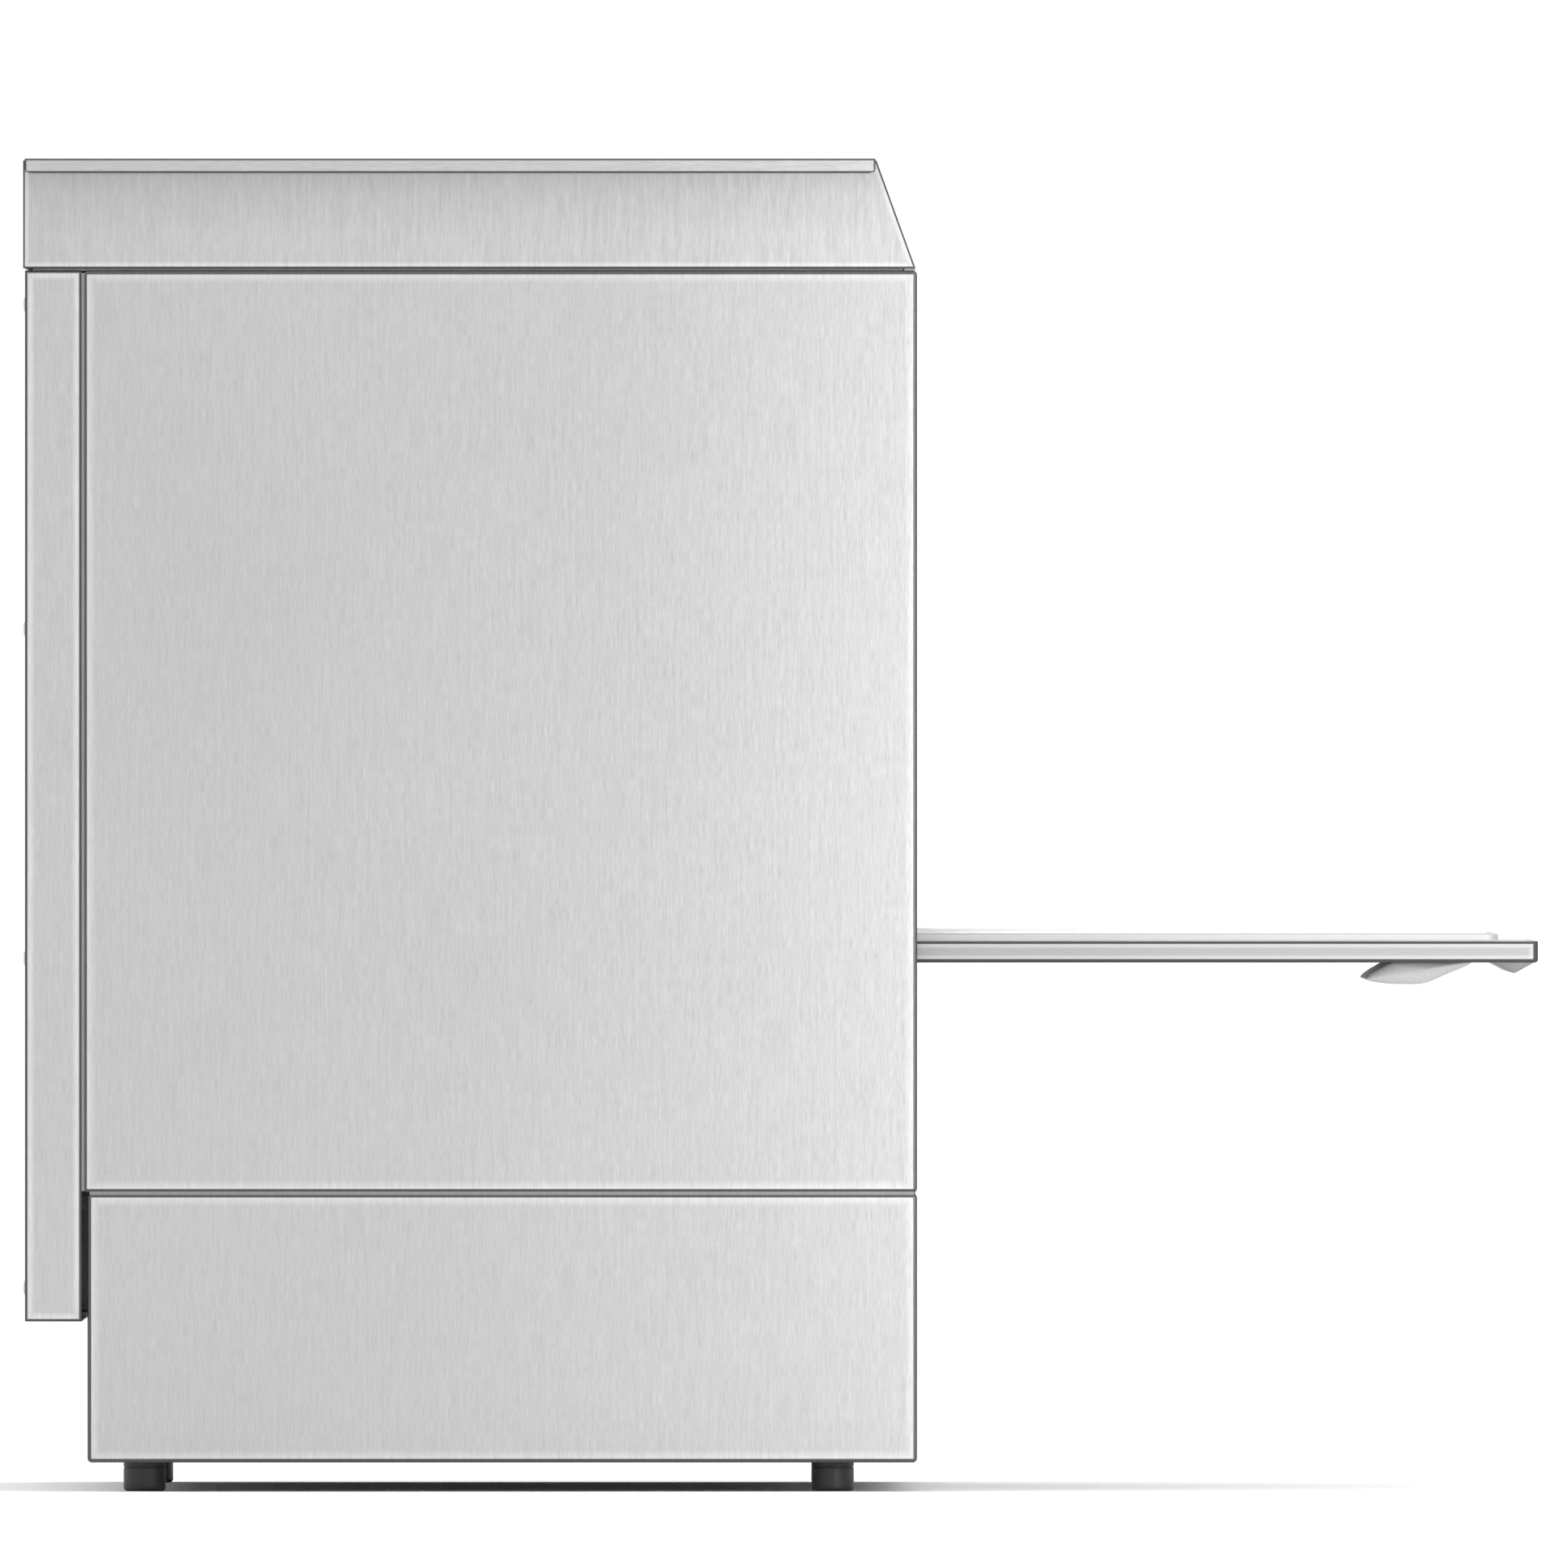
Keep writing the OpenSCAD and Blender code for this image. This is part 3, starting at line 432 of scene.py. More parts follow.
lean = math.radians(19.9)
hood_low, hood_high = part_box("hood")
lip_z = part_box("top_lid")[0].z
slope_line = (math.cos(lean), -math.sin(lean),
              -math.cos(lean) * hood_low.y + math.sin(lean) * hood_low.z)
hood_lines = [(-1, 0, hood_high.y), (0, 1, -hood_low.z), slope_line]
coat(lined_steel("hood_steel", (1, 2), hood_lines, shade_z=lip_z, line=0.0009), "hood")
coat(lined_steel("rear_steel", (1, 2), box_lines(*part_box("rear_cover"), (1, 2)), square=0.12),
     "rear_cover")
for node in ("lower_front_panel", "front_apron"):
    coat(lined_steel(node + "_steel", (0, 2), box_lines(*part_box(node), (0, 2)), 0), node)

# --- Lid -------------------------------------------------------------------------------------
# A flat top sheet with its sides turned down over the hood on a small radius; the turned-down
# lip has rounded lower corners. It lifts off for service.
lid_low, lid_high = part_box("top_lid")
lip_drop = lid_high.z - lid_low.z
lip_corner = 0.0045


def lid_surface(along_steps=26):
    """P(u, v): v goes up the left lip, round a bend, over the top and down the right lip; u runs
    from front to rear. The lip's lower edge rises to a quarter circle within lip_corner of an end."""
    length, end_steps, straight_from = lid_high.y - lid_low.y, 10, 0.008
    near_end = np.linspace(0, 1, end_steps) ** 2 * lip_corner
    eased = np.concatenate([near_end, np.linspace(straight_from, length - straight_from,
                                                  along_steps - 2 * end_steps), length - near_end[::-1]])
    from_end = np.minimum(eased, eased[-1] - eased)
    reach = np.clip(lip_corner - from_end, 0, lip_corner)
    lift = lip_corner - np.sqrt(lip_corner ** 2 - reach ** 2)
    bend = 0.0012
    turn = np.linspace(0, np.pi / 2, 5)
    x = np.concatenate([[0, 0, 0, 0, 0], bend * (1 - np.cos(turn)), [bend + 0.0008, 0.01]])
    z = np.concatenate([[0, 0.0011, 0.0015, 0.0022, lip_drop - bend - 0.0003],
                        lip_drop - bend + bend * np.sin(turn), [lip_drop, lip_drop]])
    # Painted shade on the lip's bend and along its lower edge, with painted highlights beside them.
    fold_shade = np.concatenate([[1, 1, -0.3, 0, 0], [0.8, 1, 1, 1, 1], [-0.5, 0]])
    x = np.concatenate([lid_low.x + x, (lid_high.x - x)[::-1]])
    z, fold_shade = np.concatenate([z, z[::-1]]), np.concatenate([fold_shade, fold_shade[::-1]])
    height = np.maximum(z[None, :], lift[:, None]) + lid_low.z
    shape = height.shape
    points = np.stack([np.broadcast_to(x, shape), np.broadcast_to(
        (lid_low.y + eased)[:, None], shape), height], -1).reshape(-1, 3)
    # A painted dark line across the front and rear ends.
    at_end = np.where(from_end < 0.001, 1.0, 0.0)[:, None]
    return points, shape, np.maximum(np.broadcast_to(fold_shade, shape), at_end).reshape(-1)


points, shape, fold_shade = lid_surface()
make_piece("lid_sheet", points, grid_faces(*shape, closed=False), outlined_level, "cabinet",
           ("top_lid",), fold_shade, sheet_t * 0.9)

# --- Door leaf -------------------------------------------------------------------------------
# A double-skinned leaf: a shallow outer pan, an inner panel pressed up in a raised field, and
# mineral wool between. The pan's edge is the bright band seen from the side.
low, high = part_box("door_outer_skin")
# The pan's bent edges carry painted shade with a painted highlight just inside, as on the side pans.
folded_pan("door_pan", (low.x, low.y), (high.x, high.y), high.z - low.z,
           lambda a, b, d: (a + 0 * d, b + 0 * d, low.z + d),
           brushed_steel("door_pan_steel", 1, 0.53, True, 0.72), "door", "door_outer_skin", flange_shade=0.12)
door_steel = brushed_steel("door_steel", 1, 0.54, rough=0.7)

inner_low, inner_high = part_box("door_inner_panel")
pan_top = high.z
field_half, front_margin, rear_margin = 0.255, 0.025, 0.004
field_low, field_high = (-field_half, low.y + front_margin), (field_half, high.y - rear_margin)
lip_low, lip_high = (inner_low.x, inner_low.y), (inner_high.x, inner_high.y)
lip_radius, field_radius = 0.003, 0.008
rise, fillet = 0.0052, 0.0018
arc = np.linspace(0.0, np.pi / 2, 5)
field_path = [(-fillet * (1 - math.sin(t)), fillet * (1 - math.cos(t))) for t in arc]
field_path += [(fillet * (1 - math.cos(t)), rise - fillet * (1 - math.sin(t))) for t in arc]
field_path += [(fillet + 0.001, rise), (fillet + 0.006, rise)]
rings = [(round_rect(lip_low, lip_high, lip_radius)[0], -pan_top)]
rings += [(round_rect((field_low[0] + i, field_low[1] + i), (field_high[0] - i, field_high[1] - i),
                      field_radius)[0], -pan_top - up) for i, up in field_path]
points, faces = mesh_of(rings, lambda a, b, d: (a + 0 * d, b + 0 * d, -d))
make_piece("door_inner_field", points, faces, door_steel, "door", ("door_inner_panel",))

# --- Door pull -------------------------------------------------------------------------------
# A satin aluminium pull across the door's outer face: a leaf-shaped lip that the fingers hook
# behind, and a low ridge nearer the edge. Both are extrusions with softly rounded ends.


def smooth_loop(corners, per_span=8):
    """Closed Catmull-Rom curve through the corners: a cubic in t on each span, from its four
    neighbouring corners."""
    c = np.array(corners, float)
    t = np.linspace(0, 1, per_span, endpoint=False)[:, None, None]
    p0, p1, p2, p3 = (np.roll(c, k, axis=0) for k in (1, 0, -1, -2))
    curve = 0.5 * (2 * p1 + (p2 - p0) * t + (2 * p0 - 5 * p1 + 4 * p2 - p3) * t ** 2
                   + (3 * p1 - p0 - 3 * p2 + p3) * t ** 3)
    return curve.transpose(1, 0, 2).reshape(-1, 2)


def extruded_bar(outline, centre, half_length, round_end):
    """P(u, v): a closed (y, z) outline carried along X. Within round_end of an end it shrinks
    towards centre as the square root of 1 - t squared, a quarter ellipse, and a cap closes it."""
    t = np.sin(np.linspace(0, np.pi / 2, 8))
    x = np.concatenate([-half_length + round_end * (1 - t[::-1]), half_length - round_end * (1 - t)])
    scale = np.sqrt(np.clip(1 - np.concatenate([t[::-1], t]) ** 2, 0.02, 1))
    outline, centre = np.array(outline), np.array(centre)
    yz = centre + (outline - centre)[None] * scale[:, None, None]
    points = np.concatenate([np.broadcast_to(x[:, None, None], (len(x), len(outline), 1)), yz], -1)
    faces = grid_faces(len(x), len(outline)).tolist()
    faces += [list(range(len(outline)))[::-1],
              [(len(x) - 1) * len(outline) + i for i in range(len(outline))]]
    area = np.sum(outline[:, 0] * np.roll(outline[:, 1], -1) - np.roll(outline[:, 0], -1) * outline[:, 1])
    if area > 0:
        faces = [f[::-1] for f in faces]
    return points.reshape(-1, 3), faces


def satin_metal(name, tone, along=0, rough=0.38):
    """Satin metal, cast, drawn or turned: fine speckle, and drawing lines along one axis."""
    finish, tree, shader, coords = new_finish(name)
    speckle = noise(tree, coords, (1500.0, 1500.0, 1500.0), 2.0)
    drawn = [500.0, 500.0, 500.0]
    drawn[along] = 8.0
    lines = noise(tree, coords, drawn, 2.0)
    mix = math_node(tree, "ADD", math_node(tree, "MULTIPLY", speckle, 0.4),
                    math_node(tree, "MULTIPLY", lines, 0.6))
    wire(tree, ramp(tree, mix, [(0.3, tone * 0.94), (0.7, tone * 1.04)]), shader.inputs["Base Color"])
    wire(tree, ramp(tree, speckle, [(0.3, rough - 0.06), (0.7, rough + 0.06)]),
         shader.inputs["Roughness"])
    shader.inputs["Metallic"].default_value = 1.0
    bump(tree, shader, mix, 0.1, 0.0003)
    return finish


pull_metal = satin_metal("pull_metal", 0.53, rough=0.72)
door_tip, door_face = low.y, low.z
pull_half_length = 0.24
lip_middle, ridge_middle = (door_tip + 0.075, door_face - 0.005), (door_tip + 0.015, door_face)
# Both outlines are in millimetres from the door's tip and out from its face.
lip_outline = [(door_tip + a / 1000, door_face + b / 1000) for a, b in (
    (42, 0.0), (60, 0.4), (89, 0.4), (101, -4.2), (108.6, -9.8), (106.5, -11.9), (97, -13.4),
    (84, -13.9), (72, -13.2), (58, -7.6))]
points, faces = extruded_bar(smooth_loop(lip_outline), lip_middle, pull_half_length, 0.004)
make_piece("pull_lip", points, faces, pull_metal, "door", ("door_handle",))
ridge = [(door_tip + a / 1000, door_face + b / 1000) for a, b in (
    (29, 0.3), (28.4, -0.1), (16.4, -6.4), (15, -6.8), (13.6, -6.5), (2.4, -0.3), (1.8, 0.3))]
points, faces = extruded_bar(ridge, ridge_middle, pull_half_length, 0.003)
# The ridge wears a darker copy of the pull's metal: its darker tone is painted shade.
make_piece("pull_ridge", points, faces, satin_metal("ridge_painted_shade_metal", 0.3, rough=0.6), "door")

# --- Rack runners on the door ----------------------------------------------------------------
# Two low rounded steel ribs are spot welded on the inner panel, so that the rack slides out level
# with the rails in the chamber.
runner_top = 0.3582
runner_x, runner_y, runner_half_length = 0.242, -0.249, 0.202
rib_half_wide, rib_half_high = 0.006, 0.0022
runner_steel = brushed_steel("runner_steel", 1, 0.86, rough=0.5)
round_rib = np.linspace(0, 2 * np.pi, 17)[:-1]
rib_outline = np.stack([rib_half_wide * np.cos(round_rib), rib_half_high * np.sin(round_rib)], 1)
for side in (-1, 1):
    points, faces = extruded_bar(rib_outline, (0, 0), runner_half_length, 0.003)
    points = np.stack([side * runner_x + points[:, 1], runner_y + points[:, 0],
                       runner_top - rib_half_high + points[:, 2]], 1)
    faces = [f[::-1] for f in faces]
    make_piece(f"runner_{'left' if side < 0 else 'right'}", points, faces, runner_steel, "door")

# --- Feet ------------------------------------------------------------------------------------
# Moulded black feet on steel studs, turned to level the machine. Each has a rounded sole, a
# waist groove and a flat top under the frame.


def turned(profile, place, steps=48, capped=True):
    """A lathe shape: each (radius, height) of the profile swept round the vertical at place. It is
    capped at both ends, unless its profile closes on itself."""
    angle = np.linspace(0, 2 * np.pi, steps, endpoint=False)
    profile = np.array(profile, float)
    points = np.stack([profile[:, :1] * np.cos(angle), profile[:, :1] * np.sin(angle),
                       np.repeat(profile[:, 1:], steps, 1)], -1) + np.array(place)
    faces = grid_faces(len(profile), steps).tolist()
    if capped:
        faces += [list(range(steps))[::-1], [(len(profile) - 1) * steps + i for i in range(steps)]]
    return points.reshape(-1, 3), faces


def gathered(shapes):
    """Several (points, faces) as one: their points end to end, each face counted on from the
    points before it."""
    before = np.cumsum([0] + [len(points) for points, _ in shapes])
    faces = [[i + start for i in face] for start, (_, own) in zip(before, shapes) for face in own]
    return np.concatenate([points for points, _ in shapes]), faces


def moulded(name, colour, roughness, grain=900.0, lift=0.0002):
    """Moulded plastic or rubber: an even colour with faint mottling and a fine spark-eroded skin."""
    finish, tree, shader, coords = new_finish(name)
    skin = noise(tree, coords, (grain,) * 3, 3.0)
    mottle = noise(tree, coords, (40.0,) * 3, 2.0)
    dark, light = (tuple(c * k for c in colour) for k in (0.86, 1.12))
    wire(tree, ramp(tree, mottle, [(0.3, dark), (0.7, light)]), shader.inputs["Base Color"])
    wire(tree, ramp(tree, skin, [(0.3, roughness - 0.06), (0.7, roughness + 0.08)]),
         shader.inputs["Roughness"])
    bump(tree, shader, skin, 0.25, lift)
    return finish


black_plastic = moulded("black_plastic", (0.018, 0.018, 0.02), 0.42)
foot_x, foot_rows = 0.255, (-0.0332, 0.4059)
foot_r = (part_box("feet")[1].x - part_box("feet")[0].x) / 2 - foot_x
stud_r, waist_r, sole_round = 0.004, foot_r - 0.0004, 0.0025
turn = np.linspace(0, np.pi / 2, 6)
sole = [(foot_r - sole_round * (1 - math.sin(t)), sole_round * (1 - math.cos(t))) for t in turn]
waist = [(foot_r, 0.0146), (waist_r, 0.015), (waist_r, 0.0156), (foot_r, 0.016)]
crown = [(foot_r, 0.0182), (foot_r - 0.0006, 0.0186), (stud_r, 0.0186)]
foot_profile = [(stud_r, 0.0)] + sole + waist + crown
points, faces = gathered([turned(foot_profile, (x, y, 0.0)) for x in (-foot_x, foot_x) for y in foot_rows])
make_piece("moulded_feet", points, faces, black_plastic, "cabinet", ("feet",))

# --- Control fascia --------------------------------------------------------------------------
# A steel plate screwed behind the hood's slope. Five moulded push buttons stand in turned rings
# with a signal lens over each, beside a dark glass display with a cycle bar.
slope_foot = np.array([0.0, hood_low.y, hood_low.z])
slope_up = np.array([0.0, math.sin(lean), math.cos(lean)])
slope_out = np.array([0.0, -math.cos(lean), math.sin(lean)])


def on_slope(points, x, up):
    """Sets a lathe shape, made upright at the origin, on the slope with its axis facing out."""
    points = np.asarray(points)
    return (slope_foot + np.outer(points[:, 0] + x, (1.0, 0.0, 0.0))
            + np.outer(points[:, 1] + up, slope_up) + np.outer(points[:, 2], slope_out))


def slope_piece(name, profile, x, up, finish, body, replaced=(), steps=48):
    """A lathe shape of (radius, height) set on the slope at x and up."""
    points, faces = turned(profile, (0.0, 0.0, 0.0), steps, profile[0] != profile[-1])
    return make_piece(name, on_slope(points, x, up), [f[::-1] for f in faces], finish, body,
                      replaced)


coat(cross_steel, "control_fascia")
cap_r, cap_round, cap_shoulder, cap_foot = 0.009, 0.0012, -0.0016, -0.0082
dish_r, dish_rim, dish_deep = 0.0072, -0.0008, 0.0006
button_skirt = [(0.004, cap_foot), (cap_r, cap_foot), (cap_r, cap_shoulder)]
button_edge = [(cap_r - cap_round * (1 - math.cos(t)), cap_shoulder + cap_round * math.sin(t)) for t in turn]
button_dish = [(dish_r * k, dish_rim - dish_deep * (1 - k * k)) for k in (1.0, 0.8, 0.6, 0.4, 0.2, 0.04)]
ring_profile = [(0.0096, -0.0018), (0.0123, -0.0018), (0.0123, -0.0012), (0.0118, -0.0008),
                (0.0101, -0.0008), (0.0096, -0.0012)]
lens_profile = [(0.0017, -0.0018), (0.0017, -0.0010), (0.0013, -0.0006), (0.0006, -0.0004),
                (0.0001, -0.0004)]
green_cap = moulded("green_cap", (0.03, 0.22, 0.09), 0.35)
white_cap = moulded("white_cap", (0.62, 0.63, 0.63), 0.38)
lens_glow = moulded("lens_glow", (0.75, 0.36, 0.05), 0.2)
cap_up, lens_up = 0.036, 0.056
for node, x in (("power_button", -0.25), ("start_button", -0.205), ("short_button", -0.04),
                ("normal_button", 0.0), ("long_button", 0.04)):
    green = node == "power_button"
    slope_piece(node + "_cap", button_skirt + button_edge + button_dish, x, cap_up,
                green_cap if green else white_cap, node, (node,))
    slope_piece(node + "_ring", ring_profile + ring_profile[:1], x, cap_up, pull_metal, "cabinet")
    slope_piece(node + "_lens", lens_profile, x, lens_up, lens_glow, "cabinet", steps=20)


def display_glass():
    """Dark glass with a lit bar of blocks between two rules. across runs from 0 to 1 along the bar
    and up is the distance up the slope from its middle line."""
    finish, tree, shader, coords = new_finish("display_glass")
    bar_start, bar_length, bar_up, bar_half = 0.1, 0.1, 0.030, 0.004
    blocks, block_fill, rule_off, rule_half = 10.0, 0.36, 0.0085, 0.0004
    place = parts_of(tree, coords)
    across = math_node(tree, "MULTIPLY_ADD", place[0], 1 / bar_length, -bar_start / bar_length)
    up = math_node(tree, "MULTIPLY_ADD", place[2], 1 / math.cos(lean),
                   -hood_low.z / math.cos(lean) - bar_up)
    block = math_node(tree, "LESS_THAN", math_node(tree, "ABSOLUTE", math_node(
        tree, "SUBTRACT", math_node(tree, "FRACT", math_node(
            tree, "MULTIPLY", across, blocks)), 0.5)), block_fill)
    in_bar = math_node(tree, "LESS_THAN", math_node(tree, "ABSOLUTE", up), bar_half)
    rule = math_node(tree, "LESS_THAN", math_node(tree, "ABSOLUTE", math_node(
        tree, "SUBTRACT", math_node(tree, "ABSOLUTE", up), rule_off)), rule_half)
    within = math_node(tree, "LESS_THAN", math_node(tree, "ABSOLUTE", math_node(
        tree, "SUBTRACT", across, 0.5)), 0.45)
    lit = math_node(tree, "MULTIPLY", within, math_node(
        tree, "MAXIMUM", math_node(tree, "MULTIPLY", block, in_bar), rule))
    smudge = noise(tree, coords, (60.0, 60.0, 60.0), 3.0)
    wire(tree, ramp(tree, lit, [(0.0, (0.008, 0.01, 0.014)), (1.0, (0.16, 0.42, 0.62))]),
         shader.inputs["Base Color"])
    wire(tree, ramp(tree, smudge, [(0.3, 0.06), (0.8, 0.16)]), shader.inputs["Roughness"])
    return finish


coat(display_glass(), "display_window")

# --- Glass rack ------------------------------------------------------------------------------
# An injection moulded polypropylene basket. Its rim band and corner pillars have a leather
# grain, and its lower walls and ribs are smooth. The plastic is milky and lets light through.


def rack_plastic():
    """Milky blue-grey plastic. With along = min(|x|, |y - middle|) the crackle lies where z is over
    the window top or along is past the window's slanting end. Each rib has a gate mark at its foot."""
    finish, tree, shader, coords = new_finish("rack_plastic")
    rack_low, rack_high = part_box("glass_rack")
    band_drop, rim_drop, wall_drop, wall_half = 0.038, 0.0085, 0.21, 0.17
    window_half, window_lean = 0.2105, 0.2
    rib_pitch, rib_half, mark_up, mark_r = 0.0605, 0.0014, 0.0045, 0.0013
    place = parts_of(tree, coords)
    height = place[2]
    along = math_node(tree, "MINIMUM", math_node(tree, "ABSOLUTE", place[0]), math_node(
        tree, "ABSOLUTE", math_node(tree, "SUBTRACT", place[1], (rack_low.y + rack_high.y) / 2)))
    slant = math_node(tree, "MULTIPLY_ADD", height, -window_lean, window_lean * rack_low.z + window_half)
    pillar = math_node(tree, "GREATER_THAN", along, slant)
    band = math_node(tree, "GREATER_THAN", height, rack_high.z - band_drop)
    under_rim = math_node(tree, "LESS_THAN", height, rack_high.z - rim_drop)
    grained = math_node(tree, "MULTIPLY", math_node(tree, "MAXIMUM", pillar, band), under_rim)
    wander = tree.nodes.new("ShaderNodeTexNoise")
    wander.inputs["Scale"].default_value = 90.0
    wire(tree, coords, wander.inputs["Vector"])
    shift = tree.nodes.new("ShaderNodeVectorMath")
    shift.operation = "MULTIPLY_ADD"
    shift.inputs[1].default_value = (0.012, 0.012, 0.012)
    wire(tree, wander.outputs["Color"], shift.inputs[0])
    wire(tree, coords, shift.inputs[2])
    cells = tree.nodes.new("ShaderNodeTexVoronoi")
    cells.feature = "DISTANCE_TO_EDGE"
    cells.inputs["Scale"].default_value = 175.0
    wire(tree, shift.outputs[0], cells.inputs["Vector"])
    crack = ramp(tree, cells.outputs["Distance"], [(0.0, 0.0), (0.12, 1.0)])
    crack = blend_colours(tree, "MIX", grained, (1.0, 1.0, 1.0), crack)
    skin = noise(tree, coords, (700.0, 700.0, 700.0), 3.0)
    cloud = noise(tree, coords, (14.0, 14.0, 14.0), 2.0)
    plastic = ramp(tree, cloud, [(0.3, (0.32, 0.362, 0.378)), (0.7, (0.348, 0.385, 0.398))])
    plastic = blend_colours(tree, "MULTIPLY", 1.0, plastic,
                            ramp(tree, crack, [(0.0, 0.86), (1.0, 1.0)]))
    # The rim's rounded top carries a painted highlight over its last 3 mm, above a faintly darker band
    # that ends 10 mm down; the lower wall is a little darker at its foot and brightens to a lighter
    # band about 33 mm up.
    painted_rim_highlight = ramp(tree, math_node(tree, "MULTIPLY_ADD", height, 100.0, 1.0 - 100.0 * rack_high.z), [
        (0.0, 1.0), (0.08, 0.93), (0.7, 0.95), (0.82, 1.22), (1.0, 1.26)])
    plastic = blend_colours(tree, "MULTIPLY", 1.0, plastic, painted_rim_highlight)
    lower = ramp(tree, math_node(tree, "MULTIPLY_ADD", height, 10.0, -10.0 * rack_low.z), [
        (0.0, 0.95), (0.33, 1.08), (0.36, 1.0)])
    plastic = blend_colours(tree, "MULTIPLY", 1.0, plastic, lower)
    off_rib = math_node(tree, "MULTIPLY", math_node(tree, "ABSOLUTE", math_node(
        tree, "SUBTRACT", math_node(tree, "FRACT", math_node(
            tree, "DIVIDE", along, rib_pitch)), 0.5)), rib_pitch)
    rib = math_node(tree, "LESS_THAN", off_rib, rib_half)
    low_wall = math_node(tree, "LESS_THAN", math_node(
        tree, "MAXIMUM", along, math_node(tree, "SUBTRACT", height, rack_high.z - wall_drop)), wall_half)
    plastic = blend_colours(tree, "MIX", math_node(tree, "MULTIPLY", math_node(
        tree, "MULTIPLY", rib, low_wall), 0.4), plastic, (0.6, 0.66, 0.67))
    off_mark = math_node(tree, "ADD", math_node(tree, "POWER", off_rib, 2.0), math_node(
        tree, "POWER", math_node(tree, "SUBTRACT", height, rack_low.z + mark_up), 2.0))
    mark = math_node(tree, "MULTIPLY", low_wall, math_node(tree, "LESS_THAN", off_mark, mark_r ** 2))
    plastic = blend_colours(tree, "MIX", mark, plastic, (0.16, 0.18, 0.19))
    wire(tree, plastic, shader.inputs["Base Color"])
    wire(tree, ramp(tree, skin, [(0.3, 0.36), (0.7, 0.5)]), shader.inputs["Roughness"])
    shader.inputs["Subsurface Weight"].default_value = 0.2
    shader.inputs["Subsurface Radius"].default_value = (0.004, 0.005, 0.006)
    relief = math_node(tree, "ADD", crack, math_node(tree, "MULTIPLY", skin, 0.15))
    bump(tree, shader, relief, 0.5, 0.0006)
    return finish


coat(rack_plastic(), "glass_rack")

# --- Wash chamber ----------------------------------------------------------------------------
# A welded tank of stainless sheet with rails for the rack, a perforated strainer over the sump,
# pressed spray arms on plain spindles, and a rubber seal round the mouth.


def perforated(name, pitch, hole, tone=0.5):
    """Steel sheet with round holes painted on as dark dots, painted shade for the dark seen through
    each hole: cells of the pitch in each of x, y and z, dark where the two nearest centre offsets
    give a radius under hole on the face that looks along the third."""
    finish = brushed_steel(name, 1, tone)
    tree = finish.node_tree
    place, facing = parts_of(tree, object_coords(tree)), parts_of(tree, face_normal(tree))
    total = None
    for axis in range(3):
        offset = math_node(tree, "SUBTRACT", math_node(tree, "FRACT", math_node(
            tree, "DIVIDE", place[axis], pitch)), 0.5)
        across = math_node(tree, "LESS_THAN", math_node(tree, "ABSOLUTE", facing[axis]), 0.7)
        square = math_node(tree, "MULTIPLY", math_node(tree, "MULTIPLY", offset, offset), across)
        total = square if total is None else math_node(tree, "ADD", total, square)
    dot = ramp(tree, total, [((hole / pitch) ** 2, 0.05), ((hole / pitch) ** 2 * 1.25, 1.0)])
    # Painted shade where the holes are.
    shade_over(finish, dot)
    return finish


black_rubber = moulded("black_rubber", (0.022, 0.022, 0.023), 0.6, 500.0, 0.0004)
coat(brushed_steel("tank_steel", 1, 0.58), "wash_chamber", "wash_tank", "rack_rails")
coat(perforated("strainer_steel", 0.005, 0.0011), "tank_strainers")
coat(perforated("basket_mesh", 0.003, 0.0008), "filter_basket")
coat(satin_metal("arm_steel", 0.6), "lower_wash_arm", "lower_rinse_arm", "upper_wash_arm",
     "upper_rinse_arm", "lower_spindle", "upper_spindle")
coat(black_rubber, "door_gasket", "suction_hose", "drain_hose")
coat(black_plastic, "overflow_pipe")

# --- Frame, hinges and fasteners -------------------------------------------------------------
# Folded galvanised channels and plates carry the tank, the pumps and the door's hinges. Domed
# screws hold the rear cover and the lower panel, and threaded studs carry the feet.


def threaded(name, pitch):
    """Bright steel with a screw thread: ridges of the pitch up Z in the bump, with painted shade darkening
    the tone towards each groove.
    """
    finish = satin_metal(name, 0.55, 2)
    tree = finish.node_tree
    height = parts_of(tree, object_coords(tree))[2]
    ridge_height = math_node(tree, "PINGPONG", math_node(tree, "DIVIDE", height, pitch), 0.5)
    # Painted shade in the thread's grooves.
    shade_over(finish, ramp(tree, ridge_height, [(0.0, 0.35), (0.5, 1.0)]))
    bump(tree, tree.nodes["Principled BSDF"], ridge_height, 0.8, 0.001)
    return finish


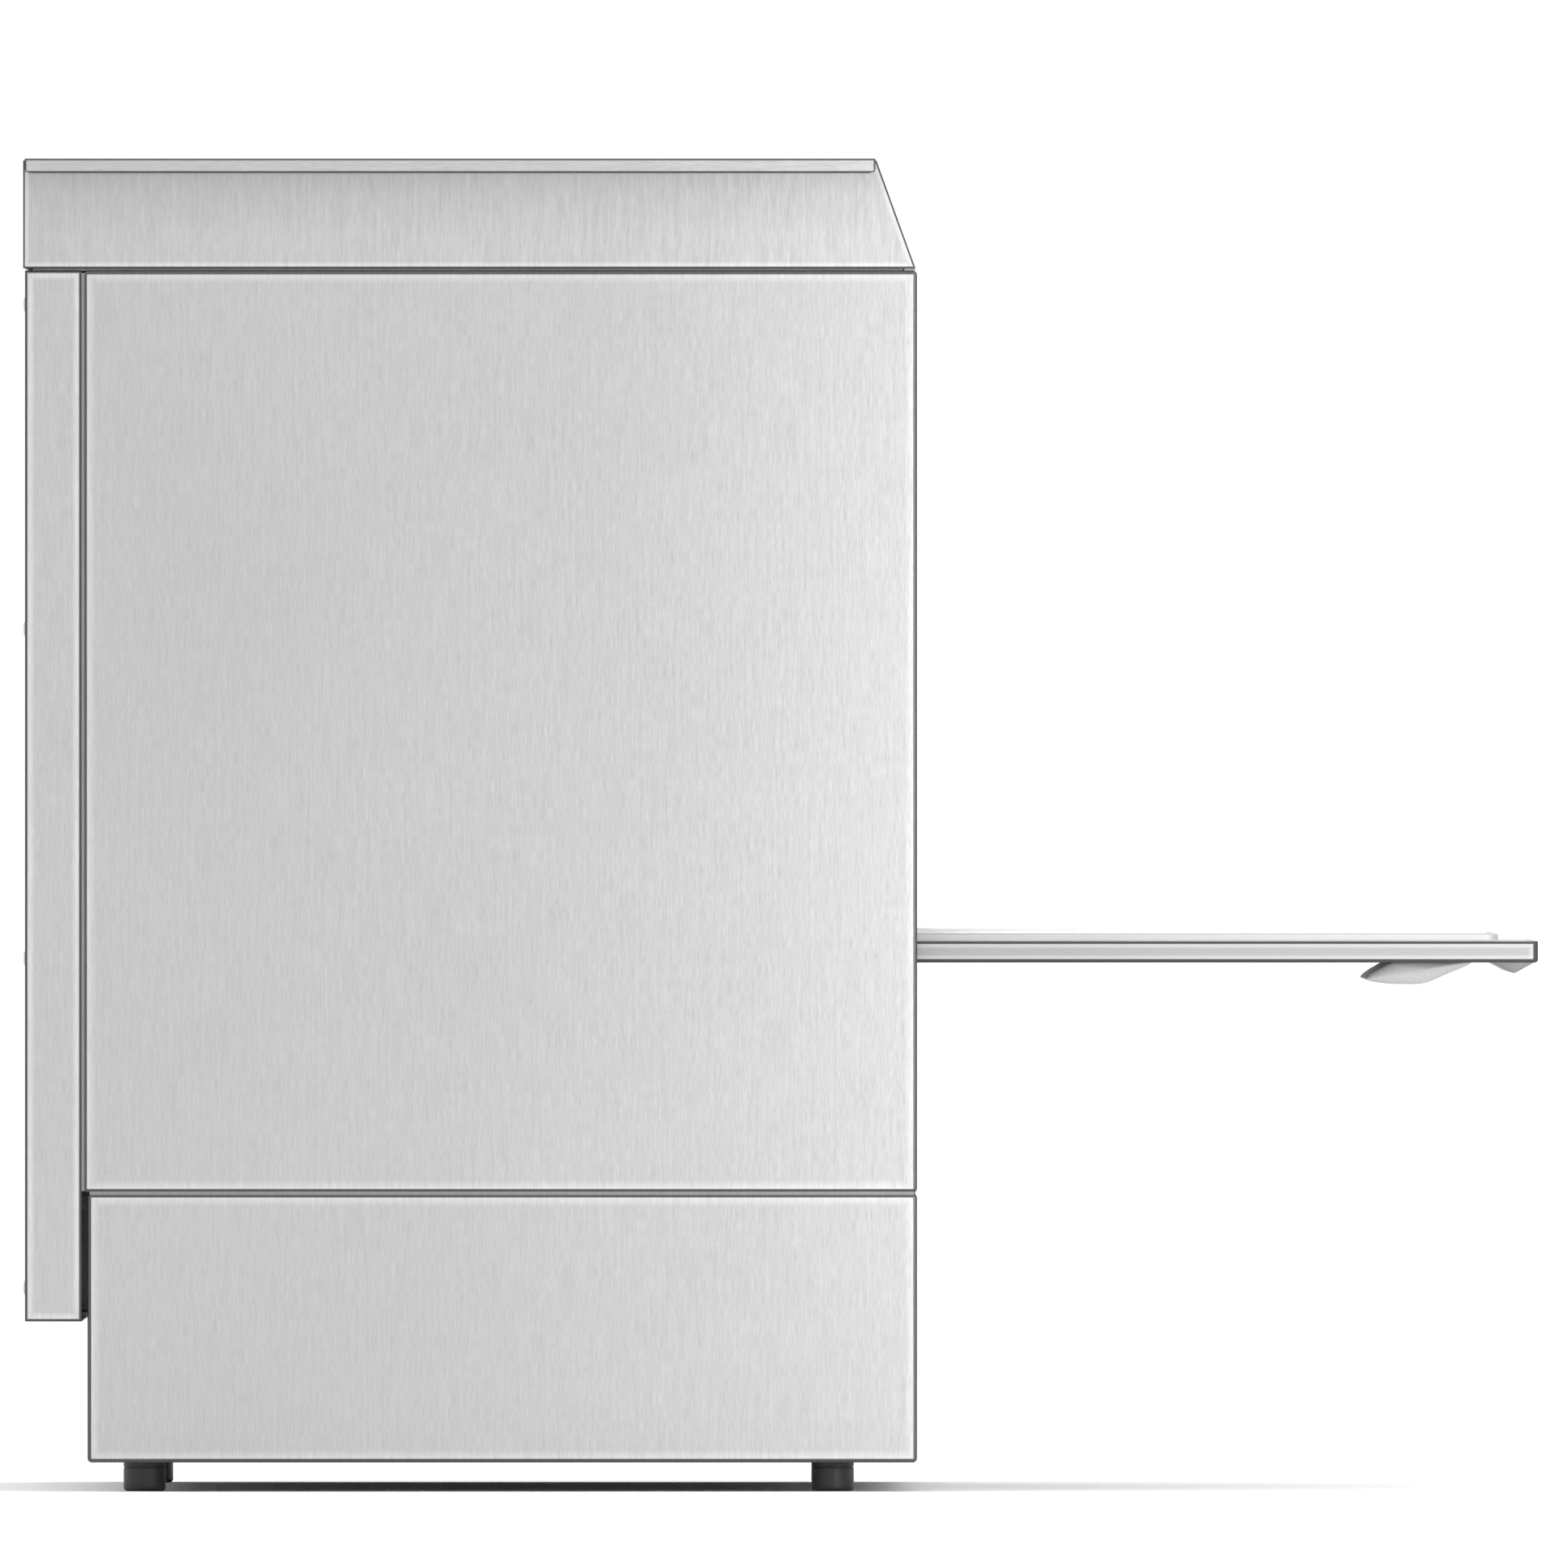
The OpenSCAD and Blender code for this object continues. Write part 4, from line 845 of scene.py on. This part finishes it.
coat(plain_steel, "base_frame", "floor_pan", "rear_service_plate", "top_deck", "hinge_brackets",
     "hinge_arms", "boiler", "rinse_pipes", "tank_heater")
coat(threaded("stud_thread", 0.0015), "foot_studs")
coat(threaded("spring_wire", 0.004), "counter_springs")
screw_profile = [(0.0045, 0.0), (0.0045, 0.0003), (0.0040, 0.0008), (0.0030, 0.0011), (0.0021, 0.0012),
                 (0.0018, 0.0011), (0.0017, 0.0002), (0.0002, 0.0002)]
zinc = satin_metal("zinc_plate", 0.52)
screws_low, screws_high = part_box("cover_screws")
head_high = 0.0012
cover_seats = [(x, z) for x in (-0.28, 0.28) for z in (0.13, 0.34, 0.55, 0.757)]
panel_seats = [(x, z) for x in (-0.269, 0.269) for z in (0.04, 0.168)]
head, head_faces = turned(screw_profile, (0.0, 0.0, 0.0), 24)
screws = []
for out, seat_y, seats in ((1, screws_high.y - head_high, cover_seats),
                           (-1, screws_low.y + head_high, panel_seats)):
    screws += [(np.stack([x - out * head[:, 0], seat_y + out * head[:, 2], z + head[:, 1]], 1), head_faces)
               for x, z in seats]
points, faces = gathered(screws)
make_piece("domed_screws", points, faces, zinc, "cabinet", ("cover_screws",))

# --- Services --------------------------------------------------------------------------------
# Pumps, valve, dosing unit and terminal box are moulded in grey and black plastic, the motor has
# a cast shell, and the water unions and the cable gland are turned brass.
grey_plastic = moulded("grey_plastic", (0.34, 0.35, 0.36), 0.45)
coat(grey_plastic, "wash_pipes", "inlet_valve", "inlet_hose", "dosing_pumps")
coat(black_plastic, "wash_pump", "drain_pump", "terminal_box", "door_switch")
coat(moulded("cast_motor", (0.2, 0.22, 0.25), 0.5, 300.0, 0.0006), "pump_motor")
coat(moulded("board_green", (0.02, 0.13, 0.05), 0.4, 240.0), "control_board")
coat(moulded("mineral_wool", (0.55, 0.5, 0.32), 0.9, 180.0, 0.003), "door_insulation")
brass = satin_metal("brass_fittings", 0.6, 1)
shade_over(brass, (1.0, 0.76, 0.4))
coat(brass, "pipe_fittings")
